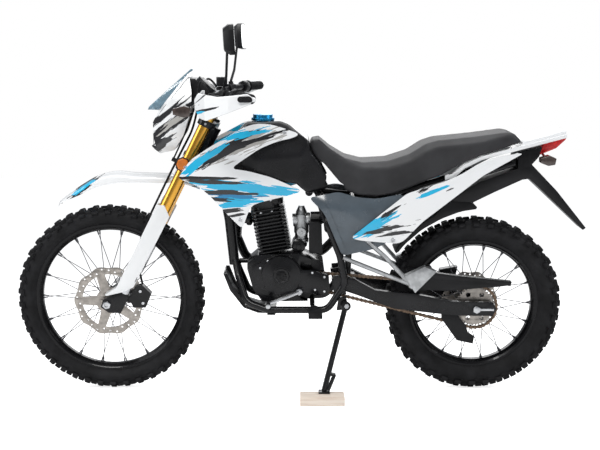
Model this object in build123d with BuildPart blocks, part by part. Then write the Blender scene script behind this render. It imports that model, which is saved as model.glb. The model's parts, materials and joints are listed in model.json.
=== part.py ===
"""Dual sport motorcycle, built as separate pieces and parked on its side stand.

Every piece is modelled on the upright machine, in millimetres: x runs forward from the
rear axle, y to the rider's left, z up from the ground.  At the end the whole machine is
leaned on its side stand and set down with the middle of its footprint at the origin.
"""

import os
from math import acos, atan2, copysign, cos, degrees, pi, radians, sin

from build123d import *

# ---------------------------------------------------------------- driving dimensions
wheelbase = 1348.0
lean_angle = 6.5                # degrees to the left, on the side stand
seat_gap = 0.3                  # clearance between pieces that seat on each other
running_gap = 0.4               # radial clearance of pins and axles

front_tip_radius = 348.0        # to the tips of the tread blocks
front_tyre_width = 84.0
front_rim_inner = 256.0         # radius of the rim's well, seen from the hub
front_rim_outer = 275.0
front_rim_width = 46.0
front_hub_flange = 34.0
front_flange_y = 30.0           # outer face of a hub flange
front_hub_width = 108.0

rear_tip_radius = 327.0
rear_tyre_width = 100.0
rear_rim_inner = 218.0
rear_rim_outer = 237.0
rear_rim_width = 58.0
rear_hub_flange = 44.0
rear_flange_y = 34.0
rear_hub_width = 116.0

wheel_sides = 30                # sides of the rings that stand for round rims and tyres
tread_height = 13.0
tread_blocks = 22               # in each row
knob_length = 34.0
crown_half = 20.0               # outer edge of the middle tread blocks
hub_flange_wall = 4.0
spoke_count = 36
spoke_radius = 1.9
axle_radius = 8.5
axle_nut_radius = 14.0

disc_thickness = 4.0
disc_waves = 10
front_disc_radius = 130.0
front_disc_y = 60.0             # inner face of the front brake disc
rear_disc_radius = 105.0
rear_disc_y = 66.0              # inner face of the rear brake disc, on the right
caliper_slot = 5.2              # free space on each side of a disc

rake = 26.5                     # degrees
axle_lead = 37.0                # axle ahead of the fork tubes
clamp_offset = 24.0             # fork tubes ahead of the steering axis
fork_half_spacing = 98.0
fork_tube_radius = 22.0
fork_inner_radius = 18.5
fork_tube_low = 316.0           # heights along the steering axis, from the axle
fork_tube_top = 790.0
lower_clamp_low = 562.0
lower_clamp_high = 592.0
upper_clamp_low = 742.0
upper_clamp_high = 766.0
clamp_wall = 8.0
head_clearance = 8.0
stem_radius = 15.0
head_tube_radius = 31.0
bar_radius = 11.0
bar_riser = 42.0
grip_radius = 16.5
grip_length = 122.0

frame_tube_radius = 13.0
rail_radius = 11.0
downtube_radius = 19.0
frame_half_width = 112.0
pivot_x = 505.0                 # swingarm pivot
pivot_z = 420.0
pivot_pin_radius = 8.5

engine_half_width = 75.0
cover_depth = 29.0              # of the round covers on both sides of the crankcase
crank_x = 713.0
crank_z = 451.0
stator_cover_radius = 71.0
cylinder_tilt = 10.0            # degrees forward
fin_count = 13
fin_pitch = 13.0
fin_thickness = 4.5

sprocket_y = 64.0               # middle of the chain line
sprocket_thickness = 6.0
sprocket_teeth = 40
sprocket_radius = 80.0          # rear, at the chain's rollers
front_sprocket_x = 590.0
front_sprocket_z = 425.0
front_sprocket_radius = 30.0
chain_width = 14.0
chain_height = 13.0
chain_links = 96

panel_wall = 3.5
tank_half = 110.0
tank_behind = 84.0              # tank's front wall behind the steering axis
rack_bolt_circle = 120.0
rack_bolt_radius = 4.25

peg_x = 590.0
peg_z = 335.0
stand_pivot = (480.0, 143.0, 349.0)
stand_foot_x = 559.0
stand_foot_y = 258.0
stand_foot_length = 40.0
stand_leg_radius = 10.0
stand_hub_radius = 17.0
stand_hub_half = 12.0
stand_bolt_radius = 6.0
stand_folded = (-1.0, 0.02, -0.045)  # direction of the folded leg
block_height = 31.0
block_length = 157.0
block_depth = 100.0
block_x = 566.5                 # middle of the wooden block
block_y = 288.0

# ------------------------------------------------------------------- derived places
lift = crown_half * sin(radians(lean_angle))
parked = Location((0, 0, lift), (-lean_angle, 0, 0))
ground = Plane(parked.inverse())

rake_sin = sin(radians(rake))
rake_cos = cos(radians(rake))
steer_lead = axle_lead + clamp_offset
front_centre = Vector(wheelbase, 0, front_tip_radius)
rear_centre = Vector(0, 0, rear_tip_radius)
steer_up = Vector(-rake_sin, 0, rake_cos)
steer_ahead = Vector(rake_cos, 0, rake_sin)
steer_origin = front_centre - steer_ahead * steer_lead
lug_half = fork_tube_radius - 3
finished = {}


# ------------------------------------------------------------------------- helpers
def fork_point(ahead, left, up):
    """Point on the machine from its place about the steering axis."""
    return steer_origin + steer_ahead * ahead + Vector(0, left, 0) + steer_up * up


fork_frame = Plane(origin=steer_origin, x_dir=steer_ahead, z_dir=steer_up)


def side_plane(left=0.0):
    """Plane along the machine, drawn in x and z, whose normal points to the right."""
    return Plane.XZ.offset(-left)


def nose_plane(left=0.0):
    """The same plane for pieces that go with the front wheel: x counts from its axle."""
    return Plane(origin=(wheelbase, left, 0), x_dir=(1, 0, 0), z_dir=(0, -1, 0))


def fork_plane(left=0.0):
    """Plane along the fork, drawn in its own ahead and up, normal to the right."""
    return Plane(origin=fork_point(0, left, 0), x_dir=steer_ahead, z_dir=(0, -1, 0))


def outline_on(plane, outline):
    """Flat face with straight edges."""
    with BuildSketch(plane) as profile:
        with BuildLine():
            Polyline(*outline, close=True)
        make_face()
    return profile.sketch


def slab(outline, inner, outer, plane_at=side_plane, mode=Mode.ADD):
    """Plate of the given outline between two distances from the centre plane."""
    extrude(outline_on(plane_at(outer), outline), amount=outer - inner, mode=mode)


def trim_plan(outline, ahead=0.0):
    """Keep only what lies over the outline, drawn in x and y."""
    plane = Plane(origin=(ahead, 0, -50), x_dir=(1, 0, 0), z_dir=(0, 0, 1))
    extrude(outline_on(plane, outline), amount=1550, mode=Mode.INTERSECT)


def trim_front(half_outline):
    """Keep only what lies within the outline of (left, up) points and its mirror image."""
    plane = Plane(origin=(-500, 0, 0), x_dir=(0, 1, 0), z_dir=(1, 0, 0))
    whole = half_outline + [(-left, up) for left, up in reversed(half_outline)]
    extrude(outline_on(plane, whole), amount=2300, mode=Mode.INTERSECT)


def rod(start, end, radius, mode=Mode.ADD):
    """Round bar between two points."""
    along = Vector(*end) - Vector(*start)
    with BuildSketch(Plane(origin=start, z_dir=along)) as section:
        Circle(radius)
    extrude(section.sketch, amount=along.length, mode=mode)


def bar(start, end, radius, sides=8, mode=Mode.ADD):
    """Bar with flats between two points."""
    along = Vector(*end) - Vector(*start)
    with BuildSketch(Plane(origin=start, z_dir=along)) as section:
        RegularPolygon(radius, sides)
    extrude(section.sketch, amount=along.length, mode=mode)


def bent_tube(points, bends, radius, sides=6):
    """Tube with flats through points, with a bend radius at each inner point."""
    with BuildLine() as path:
        FilletPolyline(*points, radius=bends)
    start = Vector(*points[0])
    with BuildSketch(Plane(origin=start, z_dir=Vector(*points[1]) - start)) as section:
        RegularPolygon(radius, sides)
    sweep(section.sketch, path=path.line)


def wheel_ring(inner, outer, low, high, centre, mode=Mode.ADD):
    """Round ring about a wheel's axle between two radii and two places along the axle."""
    with BuildSketch(Plane(origin=centre + Vector(0, low, 0), x_dir=(1, 0, 0), z_dir=(0, 1, 0))) as ring:
        Circle(outer)
        if inner:
            Circle(inner, mode=Mode.SUBTRACT)
    extrude(ring.sketch, amount=high - low, mode=mode)


def ring_loft(centre, sections, mode=Mode.ADD):
    """Many-sided form through (left, radius) sections along the axle, with a flat side down."""
    rings = []
    for left, radius in sections:
        plane = Plane(origin=centre + Vector(0, left, 0), x_dir=(0, 0, -1), z_dir=(0, 1, 0))
        with BuildSketch(plane) as ring:
            RegularPolygon(radius, wheel_sides, major_radius=False, rotation=180 / wheel_sides)
        rings.append(ring.sketch)
    loft(rings, ruled=True, mode=mode)


def both_ways(half):
    """Sections of the left half, then their mirror image."""
    return [(-left, radius) for left, radius in reversed(half)] + half


def finish(name, builder):
    """Label a finished piece and keep it for the parked machine."""
    builder.part.label = name
    finished[name] = builder.part


# -------------------------------------------------------------------------- wheels
def tread_row(centre, low, high, root, tip, turn):
    """Toothed ring: one row of tread blocks fused to the carcass under them."""
    plane = Plane(origin=centre + Vector(0, low, 0), x_dir=(0, 0, -1), z_dir=(0, 1, 0))
    step = 2 * pi / tread_blocks
    half_block = knob_length / tip / 2
    corner = tip / cos(half_block)
    points = []
    for index in range(tread_blocks):
        angle = step * (index + turn)
        points += [(cos(angle + share) * size, sin(angle + share) * size) for share, size in (
            (-half_block - 0.012, root), (-half_block, corner), (half_block, corner), (half_block + 0.012, root))]
    extrude(outline_on(plane, points), amount=high - low)


def tyre(centre, tip, width, rim_outer, rim_width):
    """Closed knobbly tyre that seats in its rim."""
    bead = rim_width / 2 - 3
    height = tip - rim_outer
    crown = tip - tread_height
    shoulder = crown - 0.26 * height
    widest = rim_outer + 0.45 * height
    ring_loft(centre, both_ways([(width / 2 - 5, shoulder - 2)]))
    row_table = (
        # inner edge, outer edge, root and tip radius, turn in pitches
        (0, crown_half, crown, tip, 0.0),
        (crown_half + 4, width / 2 - 1, shoulder, tip - 0.12 * height, 0.5),
    )
    for inner, outer, root, row_tip, turn in row_table:
        tread_row(centre, inner, outer, root, row_tip, turn)
        tread_row(centre, -outer, -inner, root, row_tip, turn + 0.5)
    for side in (1, -1):
        ring_loft(centre, [(side * bead, rim_outer + seat_gap), (side * width / 2, widest + 4)], Mode.SUBTRACT)
    ring_loft(centre, [(-bead, rim_outer - 8 + seat_gap), (bead, rim_outer - 8 + seat_gap)], Mode.SUBTRACT)


def rim(centre, inner, outer, width):
    """Deep rim with two raised flanges."""
    half = width / 2
    ring_loft(centre, both_ways([(half * 0.45, outer - 6), (half, outer)]))
    ring_loft(centre, both_ways([(half - 3 + seat_gap, outer + 1)]), Mode.SUBTRACT)
    ring_loft(centre, both_ways([(half - 3 + seat_gap, outer - 8)]))
    ring_loft(centre, both_ways([(half * 0.5, inner), (half, outer - 10)]), Mode.SUBTRACT)


def spokes(centre, flange_radius, flange_y, rim_inner):
    """Crossed wire spokes from both faces of both hub flanges to the middle of the rim."""
    per_side = spoke_count // 4
    crossing = radians(54)
    end_radius = rim_inner - seat_gap - 0.2
    start_radius = flange_radius - 3
    middle_y = flange_y - hub_flange_wall / 2
    wires = []
    for side in (1, -1):
        for index in range(per_side):
            for turn in (1, -1):
                start = 2 * pi * (index + 0.25 * (1 - side)) / per_side + 0.12 * turn
                end = start + crossing * turn
                start_y = side * (middle_y + turn * (hub_flange_wall / 2 + spoke_radius + 0.9))
                end_y = side * (4.5 + 2.5 * turn)
                inner = centre + Vector(cos(start) * start_radius, start_y, sin(start) * start_radius)
                outer = centre + Vector(cos(end) * end_radius, end_y, sin(end) * end_radius)
                with BuildSketch(Plane(origin=inner, z_dir=outer - inner)) as section:
                    RegularPolygon(spoke_radius, 4)
                wires.append(extrude(section.sketch, amount=(outer - inner).length, mode=Mode.PRIVATE))
    add(wires)


wheel_table = (
    # name, centre, tip, tyre width, rim inner, rim outer, rim width, flange, flange y, hub width
    ("front", front_centre, front_tip_radius, front_tyre_width, front_rim_inner,
     front_rim_outer, front_rim_width, front_hub_flange, front_flange_y, front_hub_width),
    ("rear", rear_centre, rear_tip_radius, rear_tyre_width, rear_rim_inner,
     rear_rim_outer, rear_rim_width, rear_hub_flange, rear_flange_y, rear_hub_width),
)

for (name, centre, tip, width, inner, outer, rim_w, flange, flange_y, hub_w) in wheel_table:
    with BuildPart() as tyre_part:
        tyre(centre, tip, width, outer, rim_w)
    finish(f"{name}_tyre", tyre_part)

    with BuildPart() as rim_part:
        rim(centre, inner, outer, rim_w)
    finish(f"{name}_rim", rim_part)

    with BuildPart() as spoke_part:
        spokes(centre, flange, flange_y, inner)
    finish(f"{name}_spokes", spoke_part)

    with BuildPart() as hub_part:
        left_end = centre + Vector(0, hub_w / 2, 0)
        bar(left_end - Vector(0, hub_w, 0), left_end, flange - 14, 12)
        for side in (1, -1):
            bar(centre + Vector(0, side * flange_y, 0),
                centre + Vector(0, side * (flange_y - hub_flange_wall), 0), flange, 18)
        wheel_ring(0, axle_radius + running_gap, -hub_w / 2, hub_w / 2, centre, Mode.SUBTRACT)
    finish(f"{name}_hub", hub_part)


def brake_disc(centre, radius, band, carrier, inner_y, hub_half, side):
    """Wavy disc with windows and slots, on a round carrier that seats on the hub."""
    outer_y = inner_y + disc_thickness
    low, high = sorted((side * inner_y, side * outer_y))
    step = 2 * pi / disc_waves
    plane = Plane(origin=centre + Vector(0, low, 0), x_dir=(1, 0, 0), z_dir=(0, 1, 0))
    with BuildSketch(plane) as plate:
        with BuildLine():
            wave = []
            for index in range(disc_waves):
                for share, size in ((0.0, radius), (0.28, radius - 1), (0.5, radius - 8), (0.72, radius - 1)):
                    angle = step * (index + share)
                    wave.append((cos(angle) * size, sin(angle) * size))
            Polyline(*wave, close=True)
        make_face()
        with PolarLocations(radius - band / 2 - 2, disc_waves, start_angle=degrees(step) / 2):
            Rectangle(6, 15, mode=Mode.SUBTRACT)
        window = []
        for share, size in ((0.12, carrier), (0.88, carrier), (1.25, radius - band), (0.5, radius - band)):
            angle = 2 * step * share
            window.append((cos(angle) * size, sin(angle) * size))
        window_face = outline_on(Plane.XY, window)
        for index in range(disc_waves // 2):
            add(window_face.rotate(Axis.Z, degrees(2 * step) * index), mode=Mode.SUBTRACT)
    extrude(plate.sketch, amount=high - low)
    low, high = sorted((side * (hub_half + seat_gap), side * inner_y))
    bar(centre + Vector(0, low, 0), centre + Vector(0, high, 0), carrier - 12, 12)
    low, high = sorted((side * (hub_half - 1), side * (outer_y + 1)))
    bar(centre + Vector(0, low, 0), centre + Vector(0, high, 0), axle_radius + 10, 12, Mode.SUBTRACT)


with BuildPart() as front_disc:
    brake_disc(front_centre, front_disc_radius, 30, 46, front_disc_y, front_hub_width / 2, 1)
finish("front_disc", front_disc)

with BuildPart() as rear_disc:
    brake_disc(rear_centre, rear_disc_radius, 26, 50, rear_disc_y, rear_hub_width / 2, -1)
finish("rear_disc", rear_disc)

with BuildPart() as rear_sprocket:
    root = sprocket_radius - chain_height / 2 - 6
    tip = sprocket_radius - chain_height / 2 - 1.2
    y_low = sprocket_y - sprocket_thickness / 2
    y_high = sprocket_y + sprocket_thickness / 2
    with BuildSketch(Plane(origin=(0, y_high, rear_tip_radius), x_dir=(1, 0, 0), z_dir=(0, -1, 0))) as plate:
        with BuildLine():
            teeth = []
            for index in range(sprocket_teeth):
                for share, size in ((0.0, root), (0.4, tip), (0.6, tip)):
                    angle = 2 * pi * (index + share) / sprocket_teeth
                    teeth.append((cos(angle) * size, sin(angle) * size))
            Polyline(*teeth, close=True)
        make_face()
        with PolarLocations(50, 6):
            RegularPolygon(9, 6, mode=Mode.SUBTRACT)
    extrude(plate.sketch, amount=sprocket_thickness)
    hub_face = Vector(0, rear_hub_width / 2, rear_tip_radius)
    bar(hub_face, (0, y_low, rear_tip_radius), 36, 12)
    bar(hub_face - Vector(0, 1, 0), (0, y_high + 1, rear_tip_radius), axle_radius + 14, 12, mode=Mode.SUBTRACT)
finish("rear_sprocket", rear_sprocket)

# ------------------------------------------------------------------ fork and steering
with BuildPart() as triple_clamps:
    for low, high in ((lower_clamp_low, lower_clamp_high), (upper_clamp_low, upper_clamp_high)):
        with BuildSketch(fork_frame.offset(low)) as plate:
            with Locations((clamp_offset, fork_half_spacing), (clamp_offset, -fork_half_spacing)):
                RegularPolygon(fork_tube_radius + clamp_wall, 12)
            with Locations((clamp_offset / 2, 0)):
                RegularPolygon(head_tube_radius, 8)
            make_hull()
            with Locations((clamp_offset, fork_half_spacing), (clamp_offset, -fork_half_spacing)):
                RegularPolygon(fork_tube_radius + seat_gap, 16, major_radius=False, mode=Mode.SUBTRACT)
        extrude(plate.sketch, amount=high - low)
    rod(fork_point(0, 0, lower_clamp_low), fork_point(0, 0, upper_clamp_high + 8), stem_radius)
    for side in (1, -1):
        bar(fork_point(clamp_offset, side * 40, upper_clamp_high - 4),
            fork_point(clamp_offset, side * 40, upper_clamp_high + bar_riser), 14, 8)
finish("triple_clamps", triple_clamps)

with BuildPart() as fork_tubes:
    for side in (1, -1):
        rod(fork_point(clamp_offset, side * fork_half_spacing, fork_tube_low),
            fork_point(clamp_offset, side * fork_half_spacing, fork_tube_top), fork_tube_radius)
        bar(fork_point(clamp_offset, side * fork_half_spacing, fork_tube_low),
            fork_point(clamp_offset, side * fork_half_spacing, fork_tube_low + 14), fork_tube_radius + 3, 16)
finish("fork_tubes", fork_tubes)

lug_top = 62.0
with BuildPart() as fork_stanchions:
    for side in (1, -1):
        rod(fork_point(clamp_offset, side * fork_half_spacing, lug_top + seat_gap),
            fork_point(clamp_offset, side * fork_half_spacing, fork_tube_low - seat_gap), fork_inner_radius)
finish("fork_stanchions", fork_stanchions)

with BuildPart() as fork_lugs:
    for side in (1, -1):
        low = side * fork_half_spacing - lug_half
        slab([(2, lug_top), (46, lug_top), (steer_lead + 8, 24), (steer_lead + 20, 8), (steer_lead + 16, -20),
              (steer_lead - 18, -26), (2, -8)], low, low + 2 * lug_half, fork_plane)
    axle_half = fork_half_spacing + lug_half + 6
    rod(fork_point(steer_lead, -axle_half, 0), fork_point(steer_lead, axle_half, 0), axle_radius)
finish("fork_lugs", fork_lugs)

guard_front = clamp_offset + fork_tube_radius + 9
with BuildPart() as fork_guards:
    for side in (1, -1):
        middle = side * fork_half_spacing
        slab([(-2, 300), (-4, 395), (30, 425), (guard_front, 415), (guard_front, 300),
              (guard_front + 2, lug_top + 10), (steer_lead + 22, 30), (steer_lead + 14, 12 + lug_top * 0.3),
              (30, lug_top + 6), (2, lug_top + 40)],
             middle - fork_tube_radius - 5, middle + fork_tube_radius + 5, fork_plane)
        slab([(-10, 0), (-10, 440), (guard_front - 4, 440), (guard_front - 4, lug_top + 10),
              (steer_lead + 18, 30), (steer_lead + 18, 0)],
             middle - fork_tube_radius - 1, middle + fork_tube_radius + 1, fork_plane, mode=Mode.SUBTRACT)
        slab([(-20, 0), (-20, 500), (12, 500), (12, 0)], middle - 30 * side - 30, middle - 30 * side + 30,
             fork_plane, mode=Mode.SUBTRACT)
        for height in (120, 250):
            bar(fork_point(clamp_offset, middle + side * (fork_inner_radius + seat_gap), height),
                fork_point(clamp_offset, middle + side * (fork_tube_radius + 4), height), 9, 6)
    add(fork_tubes.part, mode=Mode.SUBTRACT)
finish("fork_guards", fork_guards)

with BuildPart() as front_caliper:
    inner = front_disc_y - caliper_slot - 11
    outer = fork_half_spacing - lug_half - seat_gap
    slab([(-70, 40), (-66, 96), (-22, 112), (-2, 96), (0, 44), (-30, 20)], inner, outer, fork_plane)
    slab([(-24, 60), (24, 52), (24, 22), (-24, 34)], outer - 12, outer, fork_plane)
    wheel_ring(0, front_disc_radius + 5, front_disc_y - caliper_slot,
               front_disc_y + disc_thickness + caliper_slot, front_centre, Mode.SUBTRACT)
finish("front_caliper", front_caliper)

# --------------------------------------------------------------------- handlebar area
bar_height = upper_clamp_high + bar_riser + bar_radius + seat_gap
bar_middle = fork_point(clamp_offset, 0, bar_height)
bar_end = Vector(wheelbase - 544, 402, 1112)
bar_bend = Vector(wheelbase - 476, 236, 1116)
bar_rise = Vector(bar_middle.X - 16, 150, bar_middle.Z + 46)
bar_flat = 84.0                 # half length of the straight middle of the handlebar
with BuildPart() as handlebar:
    left_half = [tuple(bar_end), tuple(bar_bend), tuple(bar_rise), (bar_middle.X, bar_flat, bar_middle.Z),
                 (bar_middle.X, bar_flat - 30, bar_middle.Z)]
    bent_tube(left_half, [60, 45, 28], bar_radius)
    mirror(about=Plane.XZ)
    rod(bar_middle - Vector(0, bar_flat - 30, 0), bar_middle + Vector(0, bar_flat - 30, 0), bar_radius)
finish("handlebar", handlebar)

grip_direction = (bar_end - bar_bend).normalized()
grip_start = bar_end - grip_direction * grip_length
with BuildPart() as grips:
    bar(grip_start, bar_end, grip_radius, 12)
    bar(grip_start - grip_direction * 0.5, grip_start + grip_direction * 5, grip_radius + 6, 12)
    bar(grip_start - grip_direction, bar_end + grip_direction, bar_radius + seat_gap, 12, Mode.SUBTRACT)
    mirror(about=Plane.XZ)
finish("grips", grips)

perch_direction = (bar_bend - bar_rise).normalized()
perch_middle = bar_rise + perch_direction * 46
switch_middle = bar_bend + grip_direction * 30
lever_tip = Vector(wheelbase - 486, 392, 1106)
with BuildPart() as bar_controls:
    bar(perch_middle - perch_direction * 16, perch_middle + perch_direction * 16, 18, 8)
    bar(switch_middle - grip_direction * 14, switch_middle + grip_direction * 14, 22, 8)
    bar(perch_middle + Vector(14, 0, 0), perch_middle + Vector(54, 18, -2), 8, 6)
    bar(perch_middle + Vector(48, 6, -2), lever_tip, 5, 6)
    bar(perch_middle + Vector(0, 0, 14), perch_middle + Vector(0, 0, 26), 9, 8)
    bar(perch_middle - perch_direction * 20, perch_middle + perch_direction * 20, bar_radius + seat_gap, 12,
        Mode.SUBTRACT)
    bar(switch_middle - grip_direction * 20, switch_middle + grip_direction * 20, bar_radius + seat_gap, 12,
        Mode.SUBTRACT)
    mirror(about=Plane.XZ)
    reservoir = perch_middle + Vector(34, 0, 8)
    bar((reservoir.X, -reservoir.Y, reservoir.Z), (reservoir.X, -reservoir.Y, reservoir.Z + 34), 21, 8)
finish("bar_controls", bar_controls)

guard_side = [
    (-342, 1096), (-362, 1127), (-433, 1119), (-533, 1131), (-551, 1118), (-542, 1096), (-460, 1064),
    (-393, 1038), (-368, 1042), (-344, 1075),
]
guard_plan = [
    (-363, 150), (-340, 225), (-348, 300), (-388, 372), (-468, 420), (-553, 432),
    (-553, 424), (-474, 412), (-396, 366), (-358, 298), (-350, 228), (-372, 154),
]
with BuildPart() as hand_guards:
    slab(guard_side, 140, 440, nose_plane)
    trim_plan(guard_plan, wheelbase)
    grip_end = bar_end + grip_direction * seat_gap
    bar(grip_end, grip_end + grip_direction * 24, 9)
    mirror(about=Plane.XZ)
finish("hand_guards", hand_guards)

with BuildPart() as mirrors:
    stem_foot = perch_middle + Vector(0, 0, 26 + seat_gap)
    knee = Vector(wheelbase - 452, 236, 1180)
    head_back = Vector(wheelbase - 462, 312, 1290)
    bar(stem_foot, knee, 5, 6)
    bar(knee, head_back, 5, 6)
    facing = Vector(-1, -0.10, 0.05)
    with BuildSketch(Plane(origin=head_back + Vector(-6, 16, 14), x_dir=(-0.10, 1, 0), z_dir=facing)) as head:
        with BuildLine():
            Polyline((-52, -38), (-60, 0), (-48, 44), (46, 50), (62, 36), (58, -30), (40, -48), (-30, -50),
                     close=True)
        make_face()
    extrude(head.sketch, amount=16)
    extrude(head.sketch, amount=-18, taper=35)
    mirror(about=Plane.XZ)
    add(bar_controls.part, mode=Mode.SUBTRACT)
finish("mirrors", mirrors)

with BuildPart() as instrument_pod:
    slab([(-318, 1082), (-286, 1122), (-300.9, 1160.9), (-328, 1160), (-370, 1116), (-352, 1086)],
         -52, 52, nose_plane)
    for side in (1, -1):
        foot = fork_point(48, side * 30, upper_clamp_high + seat_gap)
        elbow = fork_point(48, side * 30, upper_clamp_high + 62)
        bar(foot, elbow, 6, 6)
        bar(elbow - steer_up * 4, (wheelbase - 338, side * 30, 1108), 6, 6)
    bar((wheelbase - 352, 22, 1120), (wheelbase - 372, 22, 1142), 40, 12)
    bar((wheelbase - 352, -30, 1120), (wheelbase - 372, -30, 1142), 30, 12)
finish("instrument_pod", instrument_pod)

mask_side = [
    (-303, 1178), (-199, 1051), (-175, 1006), (-169, 920), (-184, 905), (-198, 893), (-250, 905), (-286, 960),
    (-315, 1046), (-318, 1110),
]
with BuildPart() as headlight_mask:
    slab(mask_side, -92, 92, nose_plane)
    trim_plan([(-163, -52), (-163, 52), (-228, 84), (-328, 92), (-328, -92), (-228, -84)], wheelbase)
    trim_front([(40, 880), (74, 930), (92, 1010), (88, 1080), (50, 1190)])
    slab([(-308, 1170), (-205, 1046), (-182, 1004), (-176, 924), (-203, 902), (-250, 915), (-298, 950),
          (-348, 1000), (-348, 1170)], -84, 84, nose_plane, mode=Mode.SUBTRACT)
    slab([(-100, 922), (-215, 922), (-215, 1004), (-100, 1004)], -58, 58, nose_plane, mode=Mode.SUBTRACT)
    for side in (1, -1):
        bar((wheelbase - 290, side * 83, 1050), (wheelbase - 290, side * 93, 1050), 13, 8)
finish("headlight_mask", headlight_mask)

with BuildPart() as headlight:
    slab([(-188, 926), (-181.6, 1000), (-206, 1030), (-263, 1000), (-258, 926)], -57.7, 57.7, nose_plane)
finish("headlight", headlight)

with BuildPart() as windscreen:
    slab([(-321, 1192), (-302.7, 1178.2), (-198.7, 1051.2), (-159, 1052), (-166, 1064), (-314, 1196)],
         -85, 85, nose_plane)
    trim_front([(44, 1030), (84, 1062), (74, 1120), (40, 1200)])
finish("windscreen", windscreen)

fender_top = [(183, 703), (169, 720), (83, 779), (21, 809), (-41, 820), (-101, 815), (-199, 812), (-268, 806),
              (-338, 770)]
fender_plan = [(192, -26), (192, 26), (92, 60), (-48, 70), (-198, 62), (-348, 48), (-348, -48), (-198, -62),
               (-48, -70), (92, -60)]
with BuildPart() as front_fender:
    under_side = [(ahead, up - panel_wall) for ahead, up in reversed(fender_top)]
    wall_side = [(ahead, up - 3) for ahead, up in fender_top[1:-1]]
    wall_side += [(-268, 786), (-199, 788), (-88, 792), (-26, 784), (84, 742), (166, 708)]
    slab(fender_top + under_side, -72, 72, nose_plane)
    slab(wall_side, -72, 72, nose_plane)
    trim_plan(fender_plan, wheelbase)
    hollow = [(ahead, left - copysign(panel_wall, left)) for ahead, left in fender_plan]
    deep = [(ahead, up - panel_wall) for ahead, up in fender_top] + [(-360, 766), (-360, 650), (220, 650)]
    with BuildPart(mode=Mode.PRIVATE) as inside:
        slab(deep, -72, 72, nose_plane)
        trim_plan(hollow, wheelbase)
    add(inside.part, mode=Mode.SUBTRACT)
    for side in (1, -1):
        for ahead in (8, 44):
            bar(fork_point(ahead, side * 28, 522), fork_point(ahead, side * 28, lower_clamp_low - seat_gap), 8, 6)
finish("front_fender", front_fender)

with BuildPart() as front_indicators:
    for side in (1, -1):
        bar((wheelbase - 290, side * (93 + seat_gap), 1050), (wheelbase - 290, side * 150, 1054), 5, 6)
        slab([(-318, 1038), (-322, 1066), (-300, 1074), (-262, 1064), (-262, 1044), (-300, 1034)],
             *sorted((side * 148, side * 192)), nose_plane)
    add(headlight_mask.part, mode=Mode.SUBTRACT)
finish("front_indicators", front_indicators)

hose_radius = 4.0
cable_start = perch_middle + Vector(54, 18 - 26, 6)
hose_end = fork_point(-22, 67, 112 + seat_gap)
with BuildPart() as brake_hoses:
    bent_tube([
        (cable_start.X, -cable_start.Y, cable_start.Z), (cable_start.X + 22, -cable_start.Y, cable_start.Z + 34),
        (wheelbase - 346, -122, cable_start.Z + 26), (wheelbase - 330, -70, cable_start.Z - 46),
        tuple(fork_point(63, -40, 700)), tuple(fork_point(63, 0, 640)), tuple(fork_point(63, 50, 575)),
        tuple(fork_point(63, 67, 510)), tuple(fork_point(63, 67, 250)), tuple(fork_point(10, 67, 150)),
        tuple(hose_end),
    ], [22, 36, 30, 60, 40, 40, 40, 60, 60], hose_radius, 4)
    add(bar_controls.part, mode=Mode.SUBTRACT)
finish("brake_hoses", brake_hoses)

with BuildPart() as control_cables:
    bent_tube([
        (cable_start.X, cable_start.Y, cable_start.Z), (cable_start.X + 22, cable_start.Y, cable_start.Z + 40),
        (wheelbase - 350, 120, cable_start.Z + 36), (wheelbase - 334, 70, cable_start.Z - 40),
        tuple(fork_point(77, 44, 690)), tuple(fork_point(77, 22, lower_clamp_low + 15)),
    ], [22, 40, 40, 60], hose_radius - 1, 4)
    slab([(54 + seat_gap, lower_clamp_low + 4), (54 + seat_gap, lower_clamp_low + 22), (82, lower_clamp_low + 22),
          (82, lower_clamp_low + 4)], 12, 32, fork_plane)
finish("control_cables", control_cables)

# ----------------------------------------------------------------------------- frame
head_low = lower_clamp_high + head_clearance
head_high = upper_clamp_low - head_clearance
spine_end = (640, 0, 868)
cross_tube = Vector(452, 0, 724)
rear_cross = Vector(-120, 0, 855)
with BuildPart() as frame:
    bar(fork_point(0, 0, head_low), fork_point(0, 0, head_high), head_tube_radius, 12)
    bar(fork_point(0, 0, head_low + 96), spine_end, 22)
    bent_tube([tuple(fork_point(0, 0, head_low + 70)), (940, 0, 835), (905, 0, 640), (889, 0, 474)],
              [60, 120], downtube_radius)
    for side in (1, -1):
        half = side * frame_half_width
        bent_tube([(889, 0, 505), (872, side * 48, 440), (840, side * 94, 350), (760, half, 326), (545, half, 326),
                   (481, half, 425), (500, half, 527), (545, side * 104, 640), (578, side * 46, 745),
                   (640, side * 14, 868)],
                  [40, 60, 60, 50, 60, 80, 60, 60], frame_tube_radius)
        bent_tube([(585, side * 82, 740), (440, side * 80, 722), (270, side * 78, 735),
                   (rear_cross.X - 10, side * 62, rear_cross.Z + 3)], [120, 120], rail_radius)
        bar((520, half, 560), (200, side * 77, 752), 9, 6)
        bar((580, side * 78, 736), (552, side * 98, 650), rail_radius)
    bar(rear_cross - Vector(0, 62, 0), rear_cross + Vector(0, 62, 0), 9)
    bar(cross_tube - Vector(0, 80, 0), cross_tube + Vector(0, 80, 0), rail_radius)
    slab([(466, 330), (512, 326), (505, 372), (478, 378)], frame_half_width - 4, frame_half_width + 10)
    for side in (1, -1):
        slab([(pivot_x - 22, 392), (pivot_x + 18, 392), (pivot_x + 20, 452), (pivot_x - 16, 456)],
             side * (frame_half_width - 5) - 6, side * (frame_half_width - 5) + 6)
    rod(fork_point(0, 0, head_low - 20), fork_point(0, 0, head_high + 20), stem_radius + running_gap,
        mode=Mode.SUBTRACT)
finish("frame", frame)

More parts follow.
